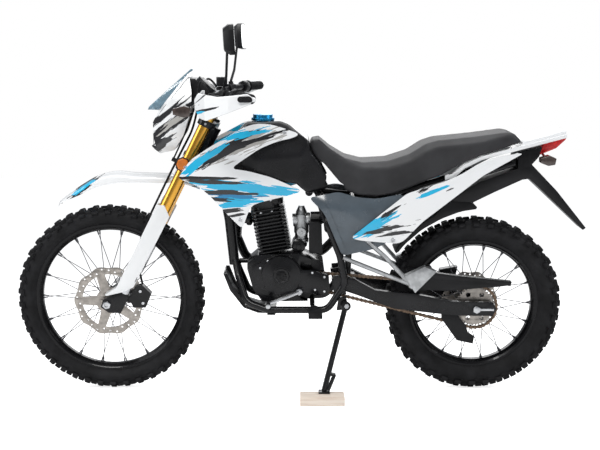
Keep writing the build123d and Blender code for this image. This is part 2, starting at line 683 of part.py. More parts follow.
# ---------------------------------------------------------------- swingarm and chain
axle_z = rear_tip_radius
arm_side = [
    (530, 438), (470, 448), (371, 398), (223, 384), (87, axle_z + 29), (-60, axle_z + 25), (-74, axle_z + 1),
    (-60, axle_z - 25), (60, axle_z - 24), (128, axle_z - 18), (300, 330), (480, 392), (524, 404),
]
arm_plan = [(540, 74), (430, 74), (340, 86), (-90, 86), (-90, 108), (60, 108), (330, 112), (430, 95), (540, 95)]
with BuildPart() as swingarm:
    slab(arm_side, 60, 130)
    trim_plan(arm_plan)
    mirror(about=Plane.XZ)
    slab([(500, 394), (455, 390), (430, 398), (440, 428), (470, 434), (500, 434)], -80, 80)
    slab([(516, 380), (494, 380), (494, 470), (516, 470)], -66, 66, mode=Mode.SUBTRACT)
    rod((pivot_x, -110, pivot_z), (pivot_x, 110, pivot_z), pivot_pin_radius + running_gap, mode=Mode.SUBTRACT)
    rod((0, -120, axle_z), (0, 120, axle_z), axle_radius + seat_gap, mode=Mode.SUBTRACT)
finish("swingarm", swingarm)

with BuildPart() as rear_axle:
    rod((0, -108, axle_z), (0, 108, axle_z), axle_radius)
    for side in (1, -1):
        bar((0, side * (108 + seat_gap), axle_z), (0, side * 120, axle_z), axle_nut_radius, 6)
        bar((-10, side * (114 + seat_gap), axle_z), (-62, side * (114 + seat_gap), axle_z), 6, 6)
finish("rear_axle", rear_axle)

# the chain's centre line: two arcs round the sprockets and the two straight runs between
run_vector = Vector(front_sprocket_x, 0, front_sprocket_z - axle_z)
run_length = (run_vector.length ** 2 - (sprocket_radius - front_sprocket_radius) ** 2) ** 0.5
run_tilt = atan2(run_vector.Z, run_vector.X)
wrap = acos((sprocket_radius - front_sprocket_radius) / run_vector.length)
rear_arc = (2 * pi - 2 * wrap) * sprocket_radius
front_arc = 2 * wrap * front_sprocket_radius
chain_length = rear_arc + front_arc + 2 * run_length


def chain_place(distance):
    """Point and direction on the chain's centre line, counted from the top of the rear arc."""
    upper = run_tilt + wrap
    lower = run_tilt - wrap
    distance = distance % chain_length
    if distance < run_length:
        start = Vector(cos(upper) * sprocket_radius, 0, axle_z + sin(upper) * sprocket_radius)
        heading = Vector(sin(upper), 0, -cos(upper))
        return start + heading * distance, heading
    distance -= run_length
    if distance < front_arc:
        angle = upper - distance / front_sprocket_radius
        arm = Vector(cos(angle), 0, sin(angle))
        return (Vector(front_sprocket_x, 0, front_sprocket_z) + arm * front_sprocket_radius,
                Vector(sin(angle), 0, -cos(angle)))
    distance -= front_arc
    if distance < run_length:
        start = Vector(front_sprocket_x + cos(lower) * front_sprocket_radius, 0,
                       front_sprocket_z + sin(lower) * front_sprocket_radius)
        heading = Vector(sin(lower), 0, -cos(lower))
        return start + heading * distance, heading
    distance -= run_length
    angle = lower - distance / sprocket_radius
    arm = Vector(cos(angle), 0, sin(angle))
    return rear_centre + arm * sprocket_radius, Vector(sin(angle), 0, -cos(angle))


link_table = (
    # first link, length and height as shares of the pitch and of the chain, width
    (0, 1.2, 0.6, chain_width - 5),
    (1, 0.84, 0.86, chain_width),
)
with BuildPart() as chain:
    pitch = chain_length / chain_links
    for first, length, height, width in link_table:
        places = []
        for index in range(first, chain_links, 2):
            middle, heading = chain_place((index + 0.5) * pitch)
            middle = middle + Vector(0, sprocket_y, 0)
            places.append(Location(Plane(origin=middle, x_dir=heading, z_dir=(0, 1, 0))))
        with Locations(*places):
            Box(pitch * length, chain_height * height, width)
finish("chain", chain)

guard_low = axle_z + sprocket_radius
arm_face = 86 - seat_gap
with BuildPart() as chain_guards:
    slab([(256, 474), (104, guard_low + 43), (-130, guard_low + 17), (-128, guard_low + 11), (104, guard_low + 35),
          (256, 464)], 57, 82)
    slab([(256, 474), (104, guard_low + 43), (-130, guard_low + 17), (-126, guard_low + 1), (0, guard_low + 21),
          (104, guard_low + 23), (250, 452)], 82, arm_face)
    slab([(250, 470), (200, 462), (206, 360), (240, 360)], 82, arm_face)
    slab([(126, axle_z - 9), (68, axle_z - 9), (60, axle_z - 37), (34, axle_z - 65), (26, axle_z - 93),
          (2, axle_z - 109), (6, axle_z - 137), (66, axle_z - 124), (124, axle_z - 43)], 78, arm_face)
finish("chain_guards", chain_guards)

# -------------------------------------------------------------------------- engine
with BuildPart() as crankcase:
    slab([(600, 350), (784, 348), (818, 396), (838, 470), (838, 490), (800, 522), (650, 528), (560, 486), (548, 400)],
         -engine_half_width, engine_half_width)
    slab([(540, 396), (552, 492), (600, 506), (644, 500), (644, 360), (600, 344)], 40, 80, mode=Mode.SUBTRACT)
    for side in (1, -1):
        bar((crank_x, side * engine_half_width, crank_z), (crank_x, side * (engine_half_width + cover_depth), crank_z),
            stator_cover_radius if side > 0 else stator_cover_radius + 8, 20)
        bar((crank_x, side * (engine_half_width + cover_depth), crank_z),
            (crank_x, side * (engine_half_width + cover_depth + 6), crank_z), 26, 12)
    slab([(650, 392), (545, 376), (536, 400), (540, 452), (600, 470), (650, 470)], 80, 98)
    slab([(642, 392), (642, 476), (700, 508), (760, 512), (820, 482), (806, 400), (700, 380)], 70, 90)
    slab([(612, 470), (700, 500), (700, 518), (640, 522), (600, 500)], -70, 62)
    bar((832, 0, 486), (870, 0, 486), 9)
    bar((600, 0, 372), (600, frame_half_width - 20, 340), 9)
    output = Vector(front_sprocket_x, 0, front_sprocket_z)
    bar(output + Vector(0, 38, 0), output + Vector(0, sprocket_y + 8, 0), 12)
    bar(output + Vector(0, sprocket_y - 3, 0), output + Vector(0, sprocket_y + 3, 0),
        front_sprocket_radius - chain_height / 2 + 0.6, 14)
finish("crankcase", crankcase)

cylinder_frame = Plane(origin=(735, 0, 526), x_dir=(cos(radians(cylinder_tilt)), 0, -sin(radians(cylinder_tilt))),
                       z_dir=(sin(radians(cylinder_tilt)), 0, cos(radians(cylinder_tilt))))
head_low_face = 7 + fin_count * fin_pitch
with BuildPart() as cylinder:
    with BuildSketch(cylinder_frame.offset(3)) as core:
        Rectangle(92, 100)
    extrude(core.sketch, amount=head_low_face - 3)
    with BuildSketch(cylinder_frame.offset(8)) as fin:
        with BuildLine():
            Polyline((-62, -58), (-48, -72), (48, -72), (62, -58), (62, 58), (48, 72), (-48, 72), (-62, 58),
                     close=True)
        make_face()
    fin_plate = extrude(fin.sketch, amount=fin_thickness, mode=Mode.PRIVATE)
    add([Location(cylinder_frame.z_dir * fin_pitch * index) * fin_plate for index in range(fin_count)])
    with BuildSketch(cylinder_frame.offset(head_low_face)) as cover:
        Rectangle(120, 112)
    extrude(cover.sketch, amount=40, taper=10)
    for side in (1, -1):
        middle = (cylinder_frame.origin + cylinder_frame.z_dir * (head_low_face + 16)
                  + cylinder_frame.x_dir * side * 30)
        bar(middle - Vector(0, 62, 0), middle + Vector(0, 62, 0), 17, 10)
    add(crankcase.part, mode=Mode.SUBTRACT)
finish("cylinder", cylinder)

intake = Vector(606, 0, 646)
with BuildPart() as carburettor:
    bar((672, 0, 640), intake, 24, 12)
    bar((640, 0, 662), (640, 0, 540), 27, 12)
    bar((640, 0, 650), (640, 0, 694), 20, 8)
    bar((640, 24, 600), (640, 44, 600), 18, 8)
finish("carburettor", carburettor)

with BuildPart() as exhaust:
    bent_tube([(827, -20, 640), (876, -46, 636), (884, -98, 560), (850, -122, 470), (700, -136, 450),
               (560, -148, 490), (470, -168, 580), (380, -184, 640)],
              [24, 40, 50, 70, 90, 70], 17)
    with BuildSketch(Plane(origin=(380, -184, 640), x_dir=(0, 1, 0), z_dir=(-0.93, 0, 0.34))) as can:
        with BuildLine():
            Polyline((-24, -50), (-38, -20), (-38, 20), (-24, 50), (24, 50), (38, 20), (38, -20), (24, -50), close=True)
        make_face()
    extrude(can.sketch, amount=440)
    can_end = Vector(380, -184, 640) + Vector(-0.93, 0, 0.34).normalized() * 440
    bar(can_end, can_end + Vector(-0.93, 0, 0.34).normalized() * 26, 20, 10)
finish("exhaust", exhaust)

with BuildPart() as bash_plate:
    slab([(926, 452), (902, 388), (852, 326), (800, 308.5), (733, 308.5), (733, 312.7), (799, 312.7),
          (849, 330), (898, 390), (922, 452)], -100, 100)
    trim_plan([(935, -60), (935, 60), (860, 80), (725, 100), (725, -100), (860, -80)])
    for side in (1, -1):
        slab([(926, 452), (902, 388), (852, 326), (846, 340), (888, 392), (912, 452)], side * 70 - 2, side * 70 + 2)
        slab([(735, 308.5), (765, 308.5), (765, 313), (735, 313)], side * 106 - 14, side * 106 + 14)
finish("bash_plate", bash_plate)

# ----------------------------------------------------------------------- bodywork
tank_side = [(880, 960), (838, 1007), (714, 1009), (684, 998), (613, 943), (606, 905),
             (562, 846), (538, 802), (537, 765), (618, 752), (660, 790), (900, 812), (945, 812)]
tank_plan = [(960, -80), (960, 80), (800, 112), (640, 108), (530, 60), (530, -60), (640, -108), (800, -112)]
tank_section = [(95, 700), (tank_half, 780), (tank_half + 2, 880), (90, 965), (44, 1012)]
with BuildPart() as fuel_tank:
    slab(tank_side, -tank_half - 5, tank_half + 5)
    trim_plan(tank_plan)
    trim_front(tank_section)
    slab([(960, 968), (560, 880), (500, 868), (500, 700), (960, 700)], -34, 34, mode=Mode.SUBTRACT)
    slab([(680, 885), (500, 850), (500, 700), (680, 700)], -64, 64, mode=Mode.SUBTRACT)
    slab([(-tank_behind, 500), (-tank_behind, 850), (150, 850), (150, 500)], -200, 200, fork_plane,
         mode=Mode.SUBTRACT)
finish("fuel_tank", fuel_tank)

with BuildPart() as fuel_cap:
    bar((780, 0, 1009 + seat_gap), (780, 0, 1018), 42, 16)
    bar((780, 0, 1018), (780, 0, 1030), 36, 16)
finish("fuel_cap", fuel_cap)

shroud_outline = [
    (1065, 821), (1068, 828), (1029, 886), (956, 933), (897, 965), (846, 994), (804, 1007), (753, 1005),
    (703, 990), (646, 969), (669, 955), (724, 944), (788, 919), (848, 880), (889, 852), (831, 842),
    (746, 816), (682, 786), (635, 764), (691, 747), (790, 726), (819, 715), (837, 674), (850, 632),
    (901, 687), (960, 756), (1002, 795),
]
shroud_plan = [
    (1078, 204), (990, 196), (900, 168), (780, 132), (700, 117), (600, 113),
    (600, 110.5), (700, 113.5), (780, 127), (900, 163), (992, 191), (1080, 199),
]
with BuildPart() as tank_shrouds:
    slab(shroud_outline, 100, 220)
    trim_plan(shroud_plan)
    bar((840, 106.2, 902), (840, 147, 902), 9, 6)
    mirror(about=Plane.XZ)
finish("tank_shrouds", tank_shrouds)

seat_top = [(612, 920), (603, 943), (576, 947), (540, 915), (484, 880), (421, 864), (330, 869), (253, 894),
            (198, 929), (156, 943), (17, 957), (-94, 972), (-122, 967), (-146, 944)]
seat_low = [(-88, 918), (-1, 894), (60, 868), (133, 826), (235, 784), (303, 757), (371, 745), (440, 749),
            (500, 768), (556, 830)]
seat_crown = 84.0               # half width of the flat of the top
seat_half = 126.0
seat_fall = 0.62                # slope of the rounded edge
with BuildPart() as seat:
    skirt = [(-160, 900), (0, 860), (235, 740), (371, 700), (500, 720), (590, 840)]
    face = outline_on(side_plane(seat_crown), seat_top + skirt)
    extrude(face, amount=seat_crown)
    extrude(face, amount=seat_half - seat_crown, dir=(0, 1, -seat_fall))
    mirror(about=Plane.XZ)
    trim_plan([(620, 60), (540, 78), (430, 112), (240, 126), (0, 118), (-160, 92),
               (-160, -92), (0, -118), (240, -126), (430, -112), (540, -78), (620, -60)])
    slab(seat_low + [(620, 890), (640, 600), (-200, 600), (-200, 940), (-146, 936)], -130, 130, mode=Mode.SUBTRACT)
    slab([(700, 700), (700, 870), (640, 892), (560, 860), (500, 790), (300, 775), (60, 880), (-50, 900), (-200, 905),
          (-200, 700)], -90, 90, mode=Mode.SUBTRACT)
    for side in (1, -1):
        slab([(360, 726), (400, 726), (400, 800), (360, 800)], side * 89 - 7, side * 89 + 7)
        bar((440, side * 80, 722), (270, side * 78, 735), rail_radius + seat_gap + 0.4, 12, Mode.SUBTRACT)
    add(fuel_tank.part, mode=Mode.SUBTRACT)
finish("seat", seat)

with BuildPart() as side_panels:
    slab([(614, 741), (508, 762), (440, 743), (372, 738), (273, 755), (301, 600), (370, 560), (411, 549),
          (494, 532), (560, 690)], 129, 129 + panel_wall)
    slab([(600, 730), (560, 690), (494, 540), (470, 545), (530, 690), (560, 738)], 129 + panel_wall, 136)
    for ahead, up, inner in ((560, 712, 82), (470, 590, 116.3), (330, 640, 101)):
        bar((ahead, 129, up), (ahead, inner, up), 7, 6)
    mirror(about=Plane.XZ)
    add(frame.part, mode=Mode.SUBTRACT)
finish("side_panels", side_panels)

with BuildPart() as tail_panels:
    slab([(463, 600), (432, 590), (302, 578), (275, 586), (208, 656), (100, 739), (-7, 821), (-153, 900),
          (-60, 890), (10, 864), (70, 828), (136, 800), (264, 760)], 90, 150)
    trim_plan([(480, 142), (260, 142), (100, 134), (-160, 104), (-160, 99), (100, 129), (260, 137), (480, 137)])
    mirror(about=Plane.XZ)
finish("tail_panels", tail_panels)

rack_normal = Vector(50, 0, 187).normalized()
rack_top = Plane(origin=(-228, 0, 958.9), x_dir=(0, 1, 0), z_dir=rack_normal)
rack_arm = [(126, 804), (96, 810), (56, 846), (-4, 876), (-88, 898), (-303, 955), (-303, 967), (-88, 911),
            (0, 888), (62, 859), (100, 825), (126, 820)]
with BuildPart() as rear_rack:
    slab([(-116, 915), (-303, 965), (-303, 979), (-150, 938), (-149, 926), (-116, 917)], -96, 96)
    slab(rack_arm, -110, -96)
    slab(rack_arm, 96, 110)
    with BuildSketch(rack_top) as holes:
        with PolarLocations(rack_bolt_circle / 2, 4, start_angle=45):
            Circle(rack_bolt_radius)
        with Locations((-76, 0), (76, 0)):
            Rectangle(16, 90)
    extrude(holes.sketch, amount=-30, mode=Mode.SUBTRACT)
finish("rear_rack", rear_rack)

with BuildPart() as tail_light:
    slab([(-216, 884), (-281, 911), (-315, 943), (-318, 962), (-300, 963.8), (-240, 947.8), (-222, 900)], -50, 50)
finish("tail_light", tail_light)

with BuildPart() as rear_fender:
    slab([(-140, 900), (-225, 918), (-216, 884), (-190, 855), (-287, 757), (-402, 618), (-391, 610), (-210, 779),
          (-182, 803), (-140, 812)], -75, 75)
    slab([(-140, 840), (-182, 803), (-158, 800), (-60, 755), (19, 716), (106, 723), (0, 790)], -75, 75)
    trim_plan([(120, 75), (-200, 75), (-300, 60), (-410, 46), (-410, -46), (-300, -60), (-200, -75), (120, -75)])
    slab([(-160, 808), (-190, 790), (-60, 740), (20, 700), (120, 700), (100, 718), (0, 776)], -71, 71,
         mode=Mode.SUBTRACT)
    slab([(-146, 872), (-108, 872), (-108, 840), (-146, 840)], -40, 40)
    bar(rear_cross - Vector(0, 80, 0), rear_cross + Vector(0, 80, 0), 9 + seat_gap, mode=Mode.SUBTRACT)
finish("rear_fender", rear_fender)

with BuildPart() as rear_indicators:
    for side in (1, -1):
        bar((-232, side * (50 + seat_gap), 890), (-232, side * 112, 882), 5, 6)
        slab([(-256, 864), (-260, 886), (-236, 896), (-206, 886), (-206, 870), (-232, 860)],
             *sorted((side * 110, side * 154)))
finish("rear_indicators", rear_indicators)

with BuildPart() as air_box:
    slab([(420, 705), (290, 720), (300, 640), (352, 560), (410, 560), (430, 600)], -66, 66)
    bar((intake.X - seat_gap, 0, intake.Z + 1), (562, 0, 648), 24)
    bar((572, -8, 648), (514, 58, 655), 22)
    bar((522, 55, 655), (400, 55, 665), 22)
    add(carburettor.part, mode=Mode.SUBTRACT)
finish("air_box", air_box)

shock_top = Vector(cross_tube.X, 0, cross_tube.Z - rail_radius - seat_gap)
shock_middle = Vector(462, 0, 560)
with BuildPart() as rear_shock:
    bar(shock_top, shock_middle, 20, 10)
    bar(shock_middle, (468, 0, 434.25), 12, 8)
    for index in range(6):
        along = shock_top + (shock_middle - shock_top) * (0.12 + 0.145 * index)
        bar(along, along + (shock_middle - shock_top).normalized() * 7, 29, 10)
finish("rear_shock", rear_shock)

# ----------------------------------------------------------------- pegs and controls
with BuildPart() as foot_pegs:
    for side in (1, -1):
        slab([(peg_x - 25, peg_z + 8), (peg_x + 25, peg_z + 8), (peg_x + 25, peg_z - 14), (peg_x - 25, peg_z - 14)],
             *sorted((side * 150, side * 222)))
        bar((peg_x, side * (frame_half_width + frame_tube_radius * cos(pi / 6) + seat_gap), peg_z),
            (peg_x, side * 152, peg_z), 12)
finish("foot_pegs", foot_pegs)

peg_joint = Vector(243, 150, 428)
with BuildPart() as passenger_pegs:
    bent_tube([tuple(peg_joint), (337, 150, 529), (420, 128, 600)], [40], 8, 6)
    bar((489, 134, 525), peg_joint, 8, 6)
    slab([(201, 504), (160, 485), (234, 408), (272, 470)], 158, 190)
    bar(peg_joint, peg_joint + Vector(0, 10, 0), 12, 6)
    mirror(about=Plane.XZ)
    add([side_panels.part, tail_panels.part], mode=Mode.SUBTRACT)
finish("passenger_pegs", passenger_pegs)

with BuildPart() as foot_levers:
    bar((648, 98 + seat_gap, 392), (648, 112, 392), 12)
    bar((648, 112, 392), (760, 118, 350), 7, 6)
    bar((760, 112, 350), (760, 160, 350), 9)
finish("foot_levers", foot_levers)

with BuildPart() as rear_caliper:
    outer = -rear_disc_y - disc_thickness - caliper_slot - 10
    slab([(60, axle_z + 73), (128, axle_z + 53), (116, axle_z + 113), (50, axle_z + 125)], outer,
         -rear_disc_y + caliper_slot + 10)
    wheel_ring(0, rear_disc_radius + 6, -rear_disc_y - disc_thickness - caliper_slot, -rear_disc_y + caliper_slot,
               rear_centre, Mode.SUBTRACT)
    slab([(60, axle_z + 90), (120, axle_z + 80), (118, axle_z + 26), (88, axle_z + 29.5)], -96, outer + 6)
    add(swingarm.part, mode=Mode.SUBTRACT)
finish("rear_caliper", rear_caliper)

# ------------------------------------------------------------------- stand and block
foot_low = block_height + seat_gap
with BuildPart() as stand_block:
    with BuildSketch(ground) as base:
        with Locations((block_x, block_y)):
            Rectangle(block_length, block_depth)
    extrude(base.sketch, amount=block_height)
finish("stand_block", stand_block)

foot_plate = 7.0
foot_middle = (parked.inverse() * Location((stand_foot_x, stand_foot_y, foot_low + foot_plate))).position
stand_hub = Vector(*stand_pivot)
leg_down = (foot_middle - stand_hub).normalized()
leg_swing = leg_down - Vector(*stand_folded).normalized()
stand_axis = (Vector(0, 1, 0) - leg_swing * (leg_swing.Y / leg_swing.dot(leg_swing))).normalized()
with BuildPart() as side_stand:
    with BuildSketch(ground.offset(foot_low)) as foot:
        with Locations((stand_foot_x, stand_foot_y)):
            Rectangle(stand_foot_length, 44)
    extrude(foot.sketch, amount=foot_plate)
    bar(stand_hub, foot_middle, stand_leg_radius, 8)
    rod(stand_hub - stand_axis * stand_hub_half, stand_hub + stand_axis * stand_hub_half, stand_hub_radius)
    flip = foot_middle - leg_down * 62
    bar(foot_middle + Vector(-14, 6, 4), flip + Vector(-22, 8, 0), 7, 6)
    bar(flip + Vector(-24, 8, 0), flip, 7, 6)
    rod(stand_hub - stand_axis * 30, stand_hub + stand_axis * 30, stand_bolt_radius + running_gap, Mode.SUBTRACT)
finish("side_stand", side_stand)

with BuildPart() as pivot_pin:
    rod((pivot_x, -97, pivot_z), (pivot_x, 97, pivot_z), pivot_pin_radius)
    inner_face = stand_hub - stand_axis * (stand_hub_half + seat_gap)
    outer_face = stand_hub + stand_axis * (stand_hub_half + seat_gap)
    rod(inner_face, outer_face, stand_bolt_radius)
    bar(outer_face, outer_face + stand_axis * 5, stand_bolt_radius + 3, 6)
    bar(inner_face - stand_axis * 6.05, inner_face, 13, 12)
finish("pivot_pin", pivot_pin)

# ----------------------------------------------------------------------------- park
corners = [(parked * piece).bounding_box() for piece in finished.values()]
middle_x = (min(box.min.X for box in corners) + max(box.max.X for box in corners)) / 2
middle_y = (min(box.min.Y for box in corners) + max(box.max.Y for box in corners)) / 2
low_z = min(box.min.Z for box in corners)
standing = Location((-middle_x, -middle_y, -low_z)) * parked

os.makedirs("parts", exist_ok=True)
for name, piece in finished.items():
    placed = standing * piece
    placed.label = name
    export_step(placed, f"parts/{name}.step")
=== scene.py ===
# %% [markdown]
# # A dual sport motorcycle, dressed in cells
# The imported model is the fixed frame: every solid already has its real size and place.
# This notebook gives each solid a believable finish, and adds the many small things that
# a drawing office leaves out, such as laced spokes, chain links, tread blocks and screws.
# Lengths are metres, x runs towards the front wheel, y to the rider's left and z up.

# %% Load the frame
import bpy
import bmesh
import json
from math import acos, atan2, cos, pi, radians, sin, tan
from mathutils import Matrix, Vector
from mathutils.geometry import delaunay_2d_cdt


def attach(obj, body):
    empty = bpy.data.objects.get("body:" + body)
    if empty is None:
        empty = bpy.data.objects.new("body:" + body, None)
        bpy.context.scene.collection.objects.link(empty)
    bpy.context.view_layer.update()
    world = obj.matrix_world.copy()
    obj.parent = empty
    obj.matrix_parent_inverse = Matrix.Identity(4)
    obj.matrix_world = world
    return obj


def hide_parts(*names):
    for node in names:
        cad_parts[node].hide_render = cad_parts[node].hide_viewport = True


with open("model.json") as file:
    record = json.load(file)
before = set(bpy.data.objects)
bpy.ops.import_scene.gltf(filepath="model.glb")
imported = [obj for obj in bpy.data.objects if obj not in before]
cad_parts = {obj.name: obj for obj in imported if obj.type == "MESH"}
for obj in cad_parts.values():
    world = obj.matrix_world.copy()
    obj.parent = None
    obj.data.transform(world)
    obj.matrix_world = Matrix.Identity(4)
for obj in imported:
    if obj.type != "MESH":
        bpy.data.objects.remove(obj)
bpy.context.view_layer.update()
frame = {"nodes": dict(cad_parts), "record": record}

# %% [markdown]
# ## Camera, floor and light
# The machine is looked at from its left side with a long lens, a little above the
# saddle, so that its outline stays nearly flat.  The floor is one pale sheet, and the
# lamps are large and soft, because black plastic only shows its form by what it mirrors.

# %% Camera
def shown(name, data):
    """An object in the scene that holds a mesh, a curve, a lamp or a camera."""
    made = bpy.data.objects.new(name, data)
    bpy.context.collection.objects.link(made)
    return made


view_distance = 4.074
view_height = 0.900
view_ahead = -0.0020
view_dip = 3.8966

camera_data = bpy.data.cameras.new("side_camera")
camera_data.lens = 67.08
camera_data.sensor_width = 36.0
camera_data.clip_end = 60.0
camera = shown("side_camera", camera_data)
camera.location = (view_ahead, view_distance, view_height)
camera.rotation_euler = (radians(90.0 - view_dip), 0.0, radians(180.0))
bpy.context.scene.camera = camera
print("camera at", tuple(round(value, 3) for value in camera.location))

# %% [markdown]
# Each lamp is a wide rectangle aimed at the middle of the machine, since a broad source
# draws a long soft stripe of light on a glossy panel, as a studio's soft box does.  The
# air itself gives a weak bluish fill, and is plain white only where the camera or a
# see-through screen looks straight at it.

# %% World and lamps
scene = bpy.context.scene
scene.view_settings.view_transform = "Standard"

world = bpy.data.worlds.new("studio_air")
scene.world = world
world.use_nodes = True
air = world.node_tree.nodes
air.clear()
air_links = world.node_tree.links
air_out = air.new("ShaderNodeOutputWorld")
seen_air = air.new("ShaderNodeBackground")
seen_air.inputs["Color"].default_value = (1.0, 1.0, 1.0, 1.0)
seen_air.inputs["Strength"].default_value = 1.0
lit_air = air.new("ShaderNodeBackground")
lit_air.inputs["Color"].default_value = (0.93, 0.96, 1.0, 1.0)
lit_air.inputs["Strength"].default_value = 0.30
air_path = air.new("ShaderNodeLightPath")
air_seen = air.new("ShaderNodeMath")
air_seen.operation = "MAXIMUM"
air_choice = air.new("ShaderNodeMixShader")
air_links.new(air_path.outputs["Is Camera Ray"], air_seen.inputs[0])
air_links.new(air_path.outputs["Is Transmission Ray"], air_seen.inputs[1])
air_links.new(air_seen.outputs[0], air_choice.inputs["Fac"])
air_links.new(lit_air.outputs["Background"], air_choice.inputs[1])
air_links.new(seen_air.outputs["Background"], air_choice.inputs[2])
air_links.new(air_choice.outputs["Shader"], air_out.inputs["Surface"])

lamp_aim = Vector((0.0, 0.0, 0.55))
lamp_table = (
    # name, place, width, height, watts, colour
    ("left_bank", (1.0, 2.8, 3.0), 1.7, 0.7, 66.0, (1.0, 0.99, 0.97)),
    ("front_bank", (3.2, 0.8, 2.2), 1.6, 2.0, 38.0, (0.97, 0.98, 1.0)),
    ("rear_bank", (-3.0, 1.2, 2.4), 1.6, 2.0, 36.0, (0.97, 0.98, 1.0)),
    ("top_bank", (0.0, -0.6, 3.4), 3.2, 2.0, 62.0, (1.0, 1.0, 1.0)),
    ("right_bank", (-0.4, -3.2, 2.0), 2.4, 1.6, 30.0, (1.0, 1.0, 1.0)),
)
for name, place, width, height, watts, colour in lamp_table:
    lamp_data = bpy.data.lights.new(name, "AREA")
    lamp_data.shape = "RECTANGLE"
    lamp_data.size = width
    lamp_data.size_y = height
    lamp_data.energy = watts
    lamp_data.color = colour
    lamp = shown(name, lamp_data)
    lamp.location = place
    lamp.rotation_mode = "QUATERNION"
    lamp.rotation_quaternion = (lamp_aim - Vector(place)).to_track_quat("-Z", "Y")
print("lamps", len(lamp_table))

# %% [markdown]
# ## The machine's own axes
# The motorcycle leans on its side stand.  It is far easier to draw it upright, in
# millimetres, with x from the rear axle towards the front, y to the left and z up from
# the ground.  One matrix then lays every piece into the leaning pose, and because that
# matrix is read from the record's joints, nothing can drift away from the solids.

# %% Upright millimetres to the leaning frame
joint_at = {row["name"]: row for row in frame["record"]["behaviour"]["joints"]}
rear_tip = 327.0
front_tip = 348.0
wheelbase = 1348.0
rear_middle = Vector(joint_at["rear_axle"]["pos_m"])
ahead = Vector((1.0, 0.0, 0.0))
across = Vector(joint_at["rear_axle"]["axis"]).normalized()
upward = ahead.cross(across)
ground_mark = rear_middle - upward * rear_tip / 1000.0
machine = (Matrix.Translation(ground_mark)
           @ Matrix((ahead, across, upward)).transposed().to_4x4()
           @ Matrix.Scale(0.001, 4))
rear_axle_at = Vector((0.0, 0.0, rear_tip))
front_axle_at = Vector((wheelbase, 0.0, front_tip))
print("front axle lands", [round(v, 4) for v in machine @ front_axle_at],
      "joint", joint_at["front_axle"]["pos_m"])

# %% [markdown]
# The fork is easier still to draw about its own axis, which leans back by the rake.
# The axle sits a little ahead of that axis, and both legs are clamped ahead of it too.

# %% Places about the steering axis
rake = radians(26.5)
axle_lead = 61.0
leg_lead = 24
leg_left = 98
steer_up = Vector((-sin(rake), 0.0, cos(rake)))
steer_ahead = Vector((cos(rake), 0.0, sin(rake)))
steer_foot = front_axle_at - steer_ahead * axle_lead


def fork(forward, left, up):
    """Place on the machine of a point given about the steering axis."""
    return steer_foot + steer_ahead * forward + Vector((0.0, left, 0.0)) + steer_up * up


# %% [markdown]
# ## Finishes
# A finish starts from one shader and gets what the real surface has: a slow change of
# tone, a fine grain for the bump, and a roughness that is never quite even.  One small
# recipe class keeps each finish to a few readable lines.

